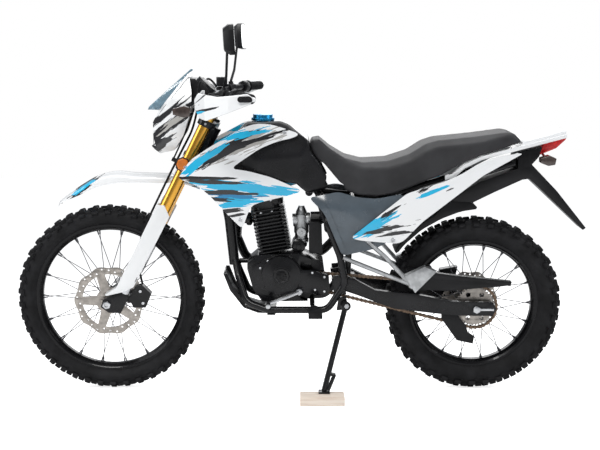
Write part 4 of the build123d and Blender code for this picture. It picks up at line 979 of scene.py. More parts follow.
# %% One tread block
def block(middle, length, width, height, lean=0.0, taper=0.82):
    """Block with a narrower top: length round the tyre, width across, base at its middle."""
    form = bmesh.new()
    rings = []
    for up, share in ((0.0, 1.0), (height * 0.8, 0.5 + taper / 2), (height, taper * 0.92)):
        x, y = length / 2 * share, width / 2 * share
        rings.append([form.verts.new(corner) for corner in
                      ((-x, -y, up), (x, -y, up), (x, y, up), (-x, y, up))])
    for low, high in zip(rings, rings[1:]):
        for step in range(4):
            after = (step + 1) % 4
            form.faces.new((low[step], low[after], high[after], high[step]))
    form.faces.new(list(reversed(rings[0])))
    form.faces.new(rings[-1])
    lay = Matrix.Translation(middle) @ Matrix.Rotation(lean, 4, "X")
    bmesh.ops.transform(form, matrix=lay, verts=form.verts[:])
    return as_mesh(form, "block")


# %% A whole tyre
tread_depth = 12.0
crown_left = 10.0
crown_width = 17.0
crown_height = 15.0
lug_height = 13.0


def tread_pitch(pitch, crown, half, wall_height):
    """One pitch of the tread: blocks, lugs and wall ribs."""
    run = pitch * crown
    parts = []
    for side in (1, -1):
        for turn, left, length, wide, up, height, lean in (
            (0.00, crown_left, run * 0.46, crown_width, crown - 3.0, crown_height, 0.0),
            (0.50, half * 0.60, run * 0.48, half * 0.34, crown - 8.0, lug_height, -0.34),
            (0.00, half * 0.86, run * 0.46, half * 0.26, crown - wall_height * 0.22,
             lug_height, -0.80),
        ):
            one = block((0.0, side * left, up), length, wide, height, side * lean)
            one.transform(Matrix.Rotation(turn * pitch + pi, 4, "Y"))
            parts.append(one)
        rib = block((0.0, side * half * 0.93, crown - wall_height * 0.34), run * 0.16, 3.0, 4.0,
                    side * -1.35)
        rib.transform(Matrix.Rotation(pi + pitch * 0.25, 4, "Y"))
        parts.append(rib)
    return joined(*parts)


def knobbly(name, middle, tip, width, bead_radius, rim_width, copies, body):
    """Tyre of carcass and blocks about its axle."""
    half = width / 2
    crown = tip - tread_depth
    height = crown - bead_radius
    one_side = [
        (rim_width / 2 - 5, bead_radius - 3), (rim_width / 2 - 3, bead_radius + 2),
        (rim_width / 2 + 1, bead_radius + height * 0.14),
        (half * 0.90, bead_radius + height * 0.34), (half * 0.965, bead_radius + height * 0.52),
        (half * 0.90, bead_radius + height * 0.74), (half * 0.72, bead_radius + height * 0.90),
        (half * 0.42, crown - 2),
    ]
    carcass = turned(one_side + [(0.0, crown)] + mirrored(one_side), (0, 0, 0), (0, 1, 0), 120,
                     ring=True)
    tread = around(tread_pitch(2 * pi / copies, crown, half, height), copies, tyre_rubber)
    mesh = joined(carcass, evaluated(tread, bevel(1.1, 1)))
    reach = max(Vector((corner.co.x, corner.co.z)).length for corner in mesh.vertices)
    mesh.transform(Matrix.Translation(middle))
    print(name, "tip radius", round(reach, 1), "blocks", copies * 6)
    return piece(name, mesh, tyre_rubber, body, (name,), 40.0)


knobbly("front_tyre", front_axle_at, front_tip, 84.0, 275.0, 46.0, 42, "front_wheel")
knobbly("rear_tyre", rear_axle_at, rear_tip, 100.0, 237.0, 58.0, 36, "rear_wheel")

# %% [markdown]
# ## Rims, spokes and hubs
# The rims are rolled aluminium with a deep well, so a turned ring is the real process.
# Each spoke leaves a hub flange, crosses its neighbour and ends in a nipple in the rim.
# Four spokes, one of each kind, are drawn once; nine copies of that group make the wheel.
# The hub is a lathe's work as well: a slim barrel between two drilled flanges.

# %% Rims
def rolled_rim(name, middle, inner, outer, width, body):
    """Rim with a well inside and a lip at each side; outer is the tyre's seat."""
    half = width / 2
    outside = [(half - 1.6, outer + 5), (half, outer + 4), (half, outer - 5),
               (half - 4, outer - 11), (half * 0.55, inner + 4), (half * 0.40, inner)]
    well = [(-half + 2.4, outer - 3), (-half * 0.5, outer - 9), (0, inner + 4),
            (half * 0.5, outer - 9), (half - 2.4, outer - 3)]
    mesh = turned(outside + mirrored(outside) + well, middle, (0, 1, 0), 128, ring=True)
    return piece(name, mesh, rim_black, body, (name,), 30.0)


rolled_rim("front_rim", front_axle_at, 256.0, 275.0, 46.0, "front_wheel")
rolled_rim("rear_rim", rear_axle_at, 218.0, 237.0, 58.0, "rear_wheel")

# %% Laced spokes
spoke_steel = keep(Recipe("spoke_steel", (0.13, 0.13, 0.14), 0.34, 1.0))
spoke_steel.tone(50.0, 0.8, 1.2)


groups = 9
sweep = radians(54)


def laced(name, middle, flange, flange_y, rim_inner, body):
    """Thirty-six spokes with their heads and nipples."""
    wires = []
    for side in (1, -1):
        for turn in (1, -1):
            start = 2 * pi * 0.25 * (1 - side) / groups + 0.12 * turn
            end = start + sweep * turn
            start_y = side * (flange_y - 2 + turn * 4.8)
            end_y = side * (4.5 + 2.5 * turn)
            low = Vector((cos(start) * (flange - 3), start_y, sin(start) * (flange - 3)))
            high = Vector((cos(end) * (rim_inner - 0.6), end_y, sin(end) * (rim_inner - 0.6)))
            run = (high - low).length
            wires.append(turned([(-3.0, 0.0), (-3.0, 2.6), (0.0, 3.2), (1.0, 1.5), (run - 16, 1.4),
                                 (run - 15.5, 2.6), (run - 3, 2.9), (run, 3.4), (run, 0.0)],
                                low, high - low, 8))
    mesh = around(joined(*wires), groups, spoke_steel)
    mesh.transform(Matrix.Translation(middle))
    return piece(name, mesh, spoke_steel, body, (name,), 50.0)


laced("front_spokes", front_axle_at, 34.0, 30.0, 256.0, "front_wheel")
laced("rear_spokes", rear_axle_at, 44.0, 34.0, 218.0, "rear_wheel")

# %% Hubs
def hub(name, middle, flange, flange_y, width, body):
    """Barrel with two spoke flanges, bored for its axle."""
    half = width / 2
    core = flange - 14
    profile = [(half, 8.9), (half, core - 2), (half - 2, core - 0.5), (flange_y + 4, core - 0.5),
               (flange_y, core), (flange_y, flange - 1), (flange_y - 1, flange),
               (flange_y - 3.2, flange), (flange_y - 4, flange - 1), (flange_y - 5, core + 2),
               (flange_y - 12, core - 4)]
    mesh = turned(profile + mirrored(profile), middle, (0, 1, 0), 64, ring=True)
    return piece(name, mesh, powder_black, body, (name,), 35.0)


hub("front_hub", front_axle_at, 34.0, 30.0, 108.0, "front_wheel")
hub("rear_hub", rear_axle_at, 44.0, 34.0, 116.0, "rear_wheel")

# %% [markdown]
# ## Brake discs and sprocket
# A wavy disc is laser cut from sheet steel.  Its outline and every hole are closed
# curves, so a filled two-dimensional curve with a thin bevel gives the same sharp,
# flat part.  The carrier in the middle is a turned ring held by a circle of bolts.

# %% Wavy discs
def wavy_edge(radius, waves=10, depth=3.5):
    """Outline that swells and shrinks round the disc."""
    outline = []
    for step in range(waves * 12):
        angle = 2 * pi * step / (waves * 12)
        reach = radius - depth + depth * cos(waves * angle)
        outline.append((cos(angle) * reach, sin(angle) * reach))
    return outline


def disc_windows(outer, inner, windows=5):
    """Openings between the arms that join the brake band to the carrier."""
    sector = 2 * pi / windows
    made = []
    for step in range(windows):
        start = sector * step
        far = [start + sector * (0.12 + 0.76 * share / 8) for share in range(9)]
        near = [start + sector * (0.70 - 0.40 * share / 4) for share in range(5)]
        loop = [(cos(angle) * outer, sin(angle) * outer) for angle in far]
        loop += [(cos(angle) * inner, sin(angle) * inner) for angle in near]
        made.append(loop[::-1])
    return made


def wavy_disc(name, middle, radius, band, carrier, inner_y, hub_half, side, body):
    """Brake disc on one side of a hub, with its seat and six screws."""
    holes = []
    for step in range(30):
        angle = 2 * pi * (step + 0.5) / 30
        reach = radius - 10 - (step % 3) * (band - 16) / 2.6
        holes.append(hole(cos(angle) * reach, sin(angle) * reach, 3.4, 10))
    holes += disc_windows(radius - band, carrier + 4)
    holes.append(hole(0, 0, 20.0, 40))
    low, high = sorted((side * inner_y, side * (inner_y + 4)))
    rotor = plate(wavy_edge(radius), low, high, holes, 0.3, 1)
    seat = turned([(hub_half + 0.3, 19.0), (hub_half + 0.3, carrier - 12),
                   (inner_y, carrier - 12), (inner_y, 19.0)],
                  (0, 0, 0), (0, side, 0), 48, ring=True)
    heads = screws(6.0, 5.0, at_distance(circle(0, 0, carrier - 16, 6), side * (inner_y + 4)), side)
    mesh = joined(rotor, seat, heads)
    mesh.transform(Matrix.Translation(middle))
    return piece(name, mesh, brake_steel, body, (name,), 30.0)


wavy_disc("front_disc", front_axle_at, 130.0, 30.0, 46.0, 60.0, 54.0, 1, "front_wheel")
wavy_disc("rear_disc", rear_axle_at, 105.0, 26.0, 50.0, 66.0, 58.0, -1, "rear_wheel")

# %% [markdown]
# ### Rear sprocket
# A sprocket is a toothed plate on the hub.  One tooth is seven points, a root, a slope
# and a flat tip; the list goes round forty times, and the closed curve is filled like
# the discs, with six round holes that save weight.

# %% Sprocket
big_radius, small_radius = 80.0, 30.0
teeth = 40
tooth_tip = big_radius - 6.5 - 1.2
tooth_root = tooth_tip - 5.0
cog = []
for step in range(teeth):
    for share, reach in ((0.0, tooth_root), (0.14, tooth_root + 0.6), (0.32, tooth_tip - 0.8),
                         (0.42, tooth_tip), (0.58, tooth_tip), (0.68, tooth_tip - 0.8),
                         (0.86, tooth_root + 0.6)):
        angle = 2 * pi * (step + share) / teeth
        cog.append((cos(angle) * reach, sin(angle) * reach))
cog_holes = [hole(x, z, 9.0) for x, z in circle(0, 0, 50, 6)] + [hole(0, 0, 22.5, 32)]
cog_seat = turned([(58.3, 22.5), (58.3, 35.0), (61.0, 35.0), (61.0, 22.5)], (0, 0, 0), (0, 1, 0),
                  48, ring=True)
cog_mesh = joined(plate(cog, 61.0, 67.0, cog_holes, 0.5, 1), cog_seat,
                  screws(5.5, 5.0, at_distance(circle(0, 0, 32, 6, 0.5), 67.0)))
cog_mesh.transform(Matrix.Translation(rear_axle_at))
piece("rear_sprocket", cog_mesh, brake_steel, "rear_wheel", ("rear_sprocket",), 30.0)

# %% [markdown]
# ### Plate over the chain
# A moulded plate hides the upper run of the chain from the rider's boot.  It is flat, so
# a filled outline is all it needs.

# %% Upper chain guard
upper_guard = plate(eased([(256, 474), (104, 451), (-60, 432), (-132, 412), (-60, 405), (60, 394),
                           (104, 390), (250, 396)], 10.0, 2), 82.3, 85.4, (), 0.8)
piece("upper_chain_guard", upper_guard, black_plastic, "chassis", (), 35.0)

# %% [markdown]
# ## Chain
# Ninety-six links run round both sprockets.  The path is a closed line of evenly spaced
# joints; on every joint sits a roller, and between two joints a pair of waisted side
# plates, the pairs lying inside and outside by turns.

# %% The chain's joints
link_count = 96
small_at = Vector((590.0, 64.0, 425.0))
big_at = Vector((0.0, 64.0, rear_tip))
gap_line = small_at - big_at
reach = gap_line.length
straight = (reach ** 2 - (big_radius - small_radius) ** 2) ** 0.5
tilt = atan2(gap_line.z, gap_line.x)
open_angle = acos((big_radius - small_radius) / reach)
top, low = tilt + open_angle, tilt - open_angle
small_arc = 2 * open_angle * small_radius
chain_length = (2 * pi - 2 * open_angle) * big_radius + small_arc + 2 * straight


def on_sprocket(middle, radius, angle):
    """Place on a sprocket's pitch circle."""
    return middle + Vector((cos(angle), 0, sin(angle))) * radius


def along_run(angle):
    """Direction in which the chain leaves a sprocket at an angle."""
    return Vector((sin(angle), 0, -cos(angle)))


def chain_at(distance):
    """Place on the chain's line, counted from where it leaves the rear sprocket's top."""
    if distance < straight:
        return on_sprocket(big_at, big_radius, top) + along_run(top) * distance
    distance -= straight
    if distance < small_arc:
        return on_sprocket(small_at, small_radius, top - distance / small_radius)
    distance -= small_arc
    if distance < straight:
        return on_sprocket(small_at, small_radius, low) + along_run(low) * distance
    return on_sprocket(big_at, big_radius, low - (distance - straight) / big_radius)


joints_at = [chain_at(chain_length * step / link_count) for step in range(link_count)]
print("chain", round(chain_length, 1), "mm, pitch", round(chain_length / link_count, 2))

# %% Links
plate_height, waist_height, plate_wall = 5.6, 3.6, 1.8


def waisted(length):
    """Outline of a side plate from joint to joint: two round ends and a waist."""
    outline = []
    for middle, start, waist in ((0.0, pi / 2, -waist_height), (length, -pi / 2, waist_height)):
        for turn in range(7):
            angle = start + pi * turn / 6
            outline.append((middle + cos(angle) * plate_height, sin(angle) * plate_height))
        outline.append((length / 2, waist))
    return outline


def side_plate(length, inner, side):
    """One side plate, from its inner face outwards."""
    form = bmesh.new()
    near, far = [[form.verts.new((x, side * (inner + level), z)) for x, z in waisted(length)]
                 for level in (0.0, plate_wall)]
    form.faces.new(near)
    form.faces.new(list(reversed(far)))
    for index in range(len(near)):
        after = (index + 1) % len(near)
        form.faces.new((near[index], far[index], far[after], near[after]))
    bmesh.ops.recalc_face_normals(form, faces=form.faces[:])
    return as_mesh(form, "link")


link_parts = []
for step, here in enumerate(joints_at):
    run = joints_at[(step + 1) % link_count] - here
    lay = Matrix.Translation(here) @ Matrix.Rotation(-atan2(run.z, run.x), 4, "Y")
    for side in (1, -1):
        link = side_plate(run.length, 3.2 if step % 2 else 5.6, side)
        link.transform(lay)
        link_parts.append(link)
roller_half = [(-7.8, 0.0), (-7.8, 2.4), (-3.0, 2.4), (-3.0, 4.6)]
roller = turned(roller_half + mirrored(roller_half), (0, 0, 0), (0, 0, 1), 8)
rollers = at_places(roller, joints_at, (0, 1, 0), chain_steel)
piece("chain", joined(rollers, *link_parts), chain_steel, "chassis", ("chain",),
      35.0)

# %% [markdown]
# ## Painted panels
# The bodywork is injection-moulded plastic, a few millimetres thick and slightly crowned.
# Each panel is one closed outline, triangulated into small faces, pushed out to its own
# curved plan and thickened, which keeps its rim crisp and its face free of flats.

# %% Reading a curve from a short table
def between(x, table):
    """Value at x on a line through (x, value) points, sorted from high x to low."""
    for (x1, v1), (x2, v2) in zip(table, table[1:]):
        if x >= x2:
            share = min(1.0, max(0.0, (x1 - x) / (x1 - x2)))
            return v1 + (v2 - v1) * share
    return table[-1][1]


def smooth_between(x, table):
    """The same with rounded corners, as a mean of five places 12 mm apart."""
    return sum(between(x + shift, table) for shift in (-24, -12, 0, 12, 24)) / 5


def fold(off, reach, height):
    """Height of a soft fold at a distance from its line."""
    return height * max(0.0, 1 - abs(off) / reach)


# %% Shrouds beside the tank
shroud_outline = [
    (1065, 821), (1068, 828), (1029, 886), (956, 933), (897, 965), (846, 994), (804, 1007),
    (753, 1005), (703, 990), (646, 969), (669, 955), (724, 944), (788, 919), (848, 880),
    (889, 852), (831, 842), (746, 816), (682, 786), (635, 764), (691, 747), (790, 726),
    (819, 715), (837, 674), (850, 632), (901, 687), (960, 756), (1002, 795),
]
shroud_plan = [(1078, 204), (990, 196), (900, 168), (780, 132), (700, 117), (600, 113)]


def shroud_out(x, z):
    """How far out the shroud's face stands."""
    crease = 821 - (1065 - x) * 0.02
    return (smooth_between(x, shroud_plan) - 3.0 + fold(z - crease, 60, 6.0)
            - max(0, z - 940) * 0.10)


shroud = skin(shroud_outline, shroud_out, 3.5, 11.0, 12.0)
shroud_boss = turned(disc_profile(0, 44, 9), (840, 104, 902), (0, 1, 0), 24)
shroud_screws = screws(7.0, 4.0, [(700, shroud_out(700, 975) - 0.5, 975),
                                  (858, shroud_out(858, 668) - 0.5, 668)])
piece("tank_shrouds", both_sides(joined(shroud, shroud_boss)), white_plastic, "chassis",
      ("tank_shrouds",), 32.0)
piece("shroud_screws", both_sides(shroud_screws), bright_steel, "chassis")

# %% [markdown]
# ### Side panels
# The grey panel below the saddle fills the triangle of the frame.  A second, thicker
# skin on the same curved plan makes its raised front band, and three turned bosses
# reach in to the frame tubes that carry it.

# %% Side panels
side_outline = [(614, 741), (508, 762), (440, 743), (372, 738), (273, 755), (301, 600),
                (370, 560), (411, 549), (494, 532), (560, 690)]
side_band_outline = [(602, 732), (560, 690), (494, 540), (478, 546), (536, 690), (566, 736)]
side_band_raise = 4.0


def side_out(x, z):
    """How far out the side panel's face stands."""
    fold_line = 640 + (x - 400) * 0.55
    return (132.5 + fold(z - fold_line, 70, 5.0) - max(0.0, x - 560) * 0.25
            - max(0.0, z - 700) ** 1.5 * 0.045)


side_sheet = skin(side_outline, side_out, 3.5, 11.0, 10.0)
side_band = skin(side_band_outline, lambda x, z: side_out(x, z) + side_band_raise, 4.5, 10.0, 6.0)
side_feet = [turned(disc_profile(inner, 131, 7), (forward, 0, up), (0, 1, 0), 20)
             for forward, up, inner in ((560, 712, 94), (470, 590, 118), (330, 640, 112))]
piece("side_panels", both_sides(joined(side_sheet, side_band, *side_feet)), grey_plastic,
      "chassis", ("side_panels",), 30.0)

# %% [markdown]
# ### Tail panels
# The white tail rises to the rear beside the saddle.  It is the same kind of skin, with
# a ridge that climbs along it, and one screw near its lower corner.

# %% Tail panels
tail_outline = [(463, 600), (432, 590), (302, 578), (275, 586), (208, 656), (100, 739),
                (-7, 821), (-153, 900), (-60, 890), (10, 864), (70, 828), (136, 800), (264, 760)]
tail_plan = [(480, 142), (260, 142), (100, 134), (-160, 104)]


def tail_out(x, z):
    """How far out the tail panel's face stands."""
    ridge = 610 + (463 - x) * 0.50
    return smooth_between(x, tail_plan) - 1.0 + fold(z - ridge, 55, 4.0)


tail_sheet = skin(tail_outline, tail_out, 4.5, 11.0, 9.0)
piece("tail_panels", both_sides(tail_sheet), white_plastic, "chassis",
      ("tail_panels",), 32.0)
tail_screws = screws(8.0, 4.0, [(312, tail_out(312, 592) - 0.4, 592)])
piece("tail_screws", both_sides(tail_screws), bright_steel, "chassis")

# %% [markdown]
# ## Front mudguard
# The high mudguard is one long moulding: a crowned roof whose edges turn down as skirts.
# It is lofted as a grid of stations along its top line, and each station is an arch as
# wide as the plan; thickening the sheet gives the rolled edge.

# %% Smooth lines and lofts
def smooth_line(points, steps=6):
    """Points on a smooth curve that passes through all the given ones."""
    result = []
    ends = [points[0]] + list(points) + [points[-1]]
    for group in zip(ends, ends[1:], ends[2:], ends[3:]):
        p0, p1, p2, p3 = (Vector(point) for point in group)
        for step in range(steps):
            t = step / steps
            result.append(0.5 * (2 * p1 + (p2 - p0) * t + (2 * p0 - 5 * p1 + 4 * p2 - p3) * t * t
                                 + (3 * p1 - p0 - 3 * p2 + p3) * t ** 3))
    result.append(Vector(points[-1]))
    return result


def loft(stations):
    """Sheet through rows of points, all of the same count."""
    form = bmesh.new()
    rows = [[form.verts.new(place) for place in row] for row in stations]
    for low, high in zip(rows, rows[1:]):
        for index in range(len(low) - 1):
            form.faces.new((low[index], low[index + 1], high[index + 1], high[index]))
    bmesh.ops.recalc_face_normals(form, faces=form.faces[:])
    return as_mesh(form, "loft")


# %% Front mudguard
fender_top = [(183, 703), (169, 720), (83, 779), (21, 809), (-41, 820), (-101, 815), (-199, 812),
              (-268, 806), (-338, 770)]
fender_width = [(192, 24), (150, 42), (92, 60), (-48, 70), (-198, 62), (-348, 48)]
fender_skirt = [(183, 4), (150, 12), (84, 30), (-26, 32), (-88, 23), (-199, 24), (-268, 20),
                (-338, 5)]
fender_wall = 3.2
roof_share, roof_width, roof_drop = 0.72, 0.94, 7.0
rib_share, rib_height = 0.16, 2.5


def fender_arch(place, width, drop, points=25):
    """One row across the mudguard: a crowned roof with a low rib, then the skirts."""
    row = []
    for step in range(points):
        share = step / (points // 2) - 1
        roof = share / roof_share
        if abs(share) < roof_share:
            left = width * roof_width * roof
            up = place.y - roof_drop * roof ** 2 + (rib_height if abs(share) < rib_share else 0.0)
        else:
            skirt = (abs(share) - roof_share) / (1 - roof_share)
            left = width * (roof_width + (1 - roof_width) * min(1.0, skirt * 2.5))
            left = left if share > 0 else -left
            up = place.y - roof_drop - (drop - 4.0) * skirt
        row.append((wheelbase + place.x, left, up))
    return row


fender_sheet = thick(loft([
    fender_arch(place, smooth_between(place.x, fender_width), smooth_between(place.x, fender_skirt))
    for place in smooth_line(fender_top)]), fender_wall)
fender_posts = [turned(disc_profile(0, 42, 8), fork(forward, side * 28, 520), steer_up, 16)
                for side in (1, -1) for forward in (8, 44)]
piece("front_fender", joined(fender_sheet, *fender_posts), white_plastic, "steering",
      ("front_fender",), 34.0)

# %% [markdown]
# ## Forms that are rounded all over
# Hand guards, tank and saddle have hardly a straight edge.  Their solids are remade of
# small even faces and relaxed, as a modeller in clay would smooth a block.  The mask and
# the headlight keep thin walls, which that would eat, so they only get rounded edges,
# and two crowned skins close the mask's cheeks.

# %% Mask, guards, tank
soft_piece("headlight_mask", 4.0, 3, white_plastic, "steering", 45.0)
mask_plan = [(-163, 52), (-228, 84), (-328, 92)]
mask_front = [(1190, 50), (1080, 88), (1010, 92), (930, 74), (880, 40)]
mask_cheek = [(wheelbase + forward, up) for forward, up in (
    (-309, 1168), (-207, 1046), (-180, 1006), (-174, 960), (-184, 920), (-198, 893), (-250, 905),
    (-286, 960), (-315, 1046), (-318, 1110))]


def cheek_out(x, z):
    """How far out the mask's cheek stands: the tighter of its plan and its front view."""
    return min(between(x - wheelbase, mask_plan), between(z, mask_front)) + 0.6


cheeks = skin(mask_cheek, cheek_out, 3.0, 9.0, 6.0)
piece("mask_cheeks", both_sides(cheeks), white_plastic, "steering", (), 35.0)
piece("hand_guards", melted("hand_guards", 2.6, 5), white_plastic, "steering",
      ("hand_guards",), 45.0, placed=True)
piece("fuel_tank", melted("fuel_tank", 4.5, 14), powder_black, "chassis",
      ("fuel_tank",), 60.0, placed=True)
soft_piece("headlight", 5.0, 3, lamp_glass, "steering")

# %% [markdown]
# ### Saddle
# A saddle is foam under a stretched cover, so nothing on it is sharp: it gets the larger
# grain and the most relaxing.

# %% Saddle
saddle = piece("saddle", melted("seat", 5.0, 12), seat_cover, "chassis", ("seat",),
               60.0, placed=True)

# %% [markdown]
# ## Frame and bent tubes
# The frame is welded from round tube, bent on a former, so each tube is a line with a
# round arc at every corner, swept by a circle.  Every run is written as its corners and
# bend radii, just as a bending drawing gives them.

# %% Tubes with round bends
def bent(corners, bends, radius):
    """Tube along straight runs joined by arcs; bends holds one radius per inner corner."""
    corners = [Vector(corner) for corner in corners]
    route = [corners[0]]
    for before, here, after, bend in zip(corners, corners[1:], corners[2:], bends):
        back, on = (before - here), (after - here)
        turn = back.angle(on)
        cut = min(bend / max(1e-6, tan(turn / 2)), back.length * 0.48, on.length * 0.48)
        low, high = here + back.normalized() * cut, here + on.normalized() * cut
        for step in range(9):
            t = step / 8
            route.append(low * (1 - t) ** 2 + here * 2 * t * (1 - t) + high * t ** 2)
    route.append(corners[-1])
    line = new_line(radius, 6)
    add_spline(line, "POLY", route)
    return evaluated(line)


def rod(start, end, radius, edge=1.0, sides=32):
    """Plain round bar between two points."""
    run = Vector(end) - Vector(start)
    return turned(disc_profile(0, run.length, radius, min(edge, radius * 0.4)), start, run, sides)


# %% Frame
head_start = 600
left_cradle = [(889, 0, 505), (872, 48, 440), (840, 94, 350), (760, 112, 326), (545, 112, 326),
               (481, 112, 425), (500, 112, 527), (545, 104, 640), (578, 46, 745), (640, 14, 868)]
seat_rail = [(585, 82, 740), (440, 80, 722), (270, 78, 735), (-130, 62, 858)]
seat_stay = [(520, 112, 560), (200, 77, 752)]
half_frame = joined(
    bent(left_cradle, [40, 60, 60, 50, 60, 80, 60, 60], 13),
    bent(seat_rail, [120, 120], 11),
    bent(seat_stay, [], 9),
    bent([(580, 78, 736), (552, 98, 650)], [], 11),
    plate([(466, 330), (512, 326), (505, 372), (478, 378)], 108, 122, (), 2.0),
    plate([(483, 392), (523, 392), (525, 452), (489, 456)], 101, 113, (), 2.0),
)
middle_frame = joined(
    turned([(-8, 15.4), (-8, 31), (0, 32), (4, 31), (134, 31), (138, 32), (146, 31), (146, 15.4)],
           fork(0, 0, head_start), steer_up, 48, ring=True),
    bent([fork(-30, 0, 658), (640, 0, 868)], [], 22),
    bent([fork(-12, 0, 662), (940, 0, 835), (905, 0, 640), (889, 0, 474)], [60, 120], 19),
    rod((-120, -62, 855), (-120, 62, 855), 9),
    rod((452, -80, 724), (452, 80, 724), 11),
)
piece("frame", joined(both_sides(half_frame), middle_frame), powder_black, "chassis",
      ("frame",), 40.0)

# %% [markdown]
# ## Exhaust
# The pipe leaves the head on the right, dips beside the crankcase and climbs to the
# silencer.  The pipe is bent like a frame tube.  The silencer is rolled sheet with two
# pressed bands, so it is a loft: one eight-cornered ring, scaled station by station.

# %% Exhaust
port_at = Vector((827, -20, 640))
can_at = Vector((380, -184, 640))
can_way = Vector((-0.93, 0.0, 0.34)).normalized()
can_up = Vector((0.34, 0.0, 0.93)).normalized()
can_ring = [(-24, -50), (-38, -20), (-38, 20), (-24, 50), (24, 50), (38, 20), (38, -20), (24, -50)]
can_stations = ((0, 0.55), (4, 0.86), (16, 1.0), (60, 1.0), (64, 0.96), (70, 0.96), (74, 1.0),
                (420, 1.0), (434, 0.92), (440, 0.7))
pipe = bent([port_at, (876, -46, 636), (884, -98, 560), (850, -122, 470), (700, -136, 450),
             (560, -148, 490), (470, -168, 580), can_at], [24, 40, 50, 70, 90, 70], 17)
can_rows = []
for along, share in can_stations:
    ring = eased([(y * share, z * share) for y, z in can_ring], 12.0)
    can_rows.append([can_at + can_way * along + Vector((0, y, 0)) + can_up * z
                     for y, z in ring + ring[:1]])
outlet = rod(can_at + can_way * 436, can_at + can_way * 466, 20, 2.0)
port_flange = turned([(0, 16.9), (0, 24), (6, 25), (12, 24), (12, 16.9)], port_at, (1, -0.3, 0), 32)
piece("exhaust", joined(pipe, loft(can_rows), outlet, port_flange), powder_black, "chassis",
      ("exhaust",), 35.0)

# %% [markdown]
# ## Fork
# The fork is upside down: wide gold tubes above, held in two forged clamps, and slim
# chromed legs below behind white guards.  All its round parts are turned, since a lathe
# is what makes them; the wiper ring and the cap at the ends are part of one profile.

# %% Fork tubes and legs
reflector_lead, reflector_left, reflector_up = 34, 122.5, 588
tube_parts, leg_parts, reflectors, frames = [], [], [], []
for side in (1, -1):
    leg_foot = fork(leg_lead, side * leg_left, 0)
    tube_parts.append(turned([
        (316, 18.6), (316, 24), (318, 25), (328, 25), (330, 22.6), (338, 22.2), (342, 22),
        (780, 22), (786, 21.5), (788, 19), (790, 18), (790, 0),
    ], leg_foot, steer_up, 72))
    leg_parts.append(turned([(62.3, 0), (62.3, 18.5), (315.7, 18.5), (315.7, 0)],
                            leg_foot, steer_up, 64))
    reflector_at = fork(reflector_lead, side * reflector_left, reflector_up)
    frames.append(turned([(0, 0), (0, 27), (5, 27), (6, 25.5), (6, 0)],
                         reflector_at, (0, side, 0), 8))
    reflectors.append(turned([(5.5, 23), (9, 22), (11, 18), (11.5, 0)],
                             reflector_at, (0, side, 0), 8))
piece("fork_tubes", joined(*tube_parts), gold_anodised, "steering",
      ("fork_tubes",), 40.0)
piece("fork_legs", joined(*leg_parts), bright_steel, "steering",
      ("fork_stanchions",), 40.0)
piece("reflectors", joined(*reflectors), amber_lens, "steering", (), 20.0)
piece("reflector_frames", joined(*frames), black_plastic, "steering", (), 30.0)

# %% [markdown]
# ### Clamps, lugs and guards
# The clamps and the axle lugs are forged and the guards are moulded.  Their solids have
# the right outline, so only their edges are rounded.  The front caliper keeps its own
# solid as it is, because its jaws leave a slot for the disc that a bevel would close.

# %% Clamps, lugs, guards and screws
soft_piece("fork_guards", 2.4, 3, white_plastic, "steering")
soft_piece("fork_lugs", 3.0, 3, powder_black, "steering")
soft_piece("triple_clamps", 2.0, 2, powder_black, "steering")
clamp_bolts = screws(5.0, 6.0, [fork(leg_lead, 128, level) for level in (570, 584, 754)])
caliper_bolts = screws(6.0, 5.0, [fork(-54, 80, 52), fork(-26, 80, 88)])
axle_end = [(0, 0), (0, 15), (8, 15), (9, 13), (9, 8), (4, 7), (4, 0)]
axle_ends = [turned(axle_end, fork(axle_lead, side * 123.5, 0), (0, side, 0), corners)
             for side, corners in ((1, 6), (-1, 32))]
piece("fork_bolts", joined(clamp_bolts, caliper_bolts, *axle_ends), bright_steel, "steering",
      (), 30.0)

# %% [markdown]
# ## Engine
# An air-cooled single: a black crankcase with round side covers, thirteen thin fins on
# the barrel and a silver carburettor behind it.  One fin is drawn and stacked by the
# tree along the barrel's own axis.

# %% Crankcase
crank_x, crank_z = 713, 451
cover_screws = 7
covers = []
for side, radius in ((1, 71), (-1, 79)):
    covers.append(turned([(0, radius + 2), (14, radius + 2), (22, radius), (28, radius - 5),
                          (30.5, radius - 12), (30.5, 36), (32, 33), (32, 30), (36.5, 27.5),
                          (36.5, 22), (35, 20), (35, 0)],
                         (crank_x, side * 75, crank_z), (0, side, 0), 72))
    around_cover = circle(crank_x, crank_z, radius + 4, cover_screws, 0.3)
    covers.append(at_places(bolt_head(5.0, 5.0), at_distance(around_cover, side * 88),
                            (0, side, 0), powder_black))
    boss = turned(disc_profile(0, 14, 7.5), (0, 0, 0), (0, 0, 1), 16)
    covers.append(at_places(boss, at_distance(around_cover, side * 74.5), (0, side, 0),
                            powder_black))
soft_piece("crankcase", 3.0, 2, powder_black, "chassis")
piece("engine_covers", joined(*covers), powder_black, "chassis", (), 30.0)

# %% [markdown]
# ### Electrics and starter
# Between engine and swingarm the frame holds a battery box, an ignition coil and a relay
# tray, and the starter motor lies across the top of the crankcase.  They are mostly in
# shadow, so rounded plates and turned bodies say enough.

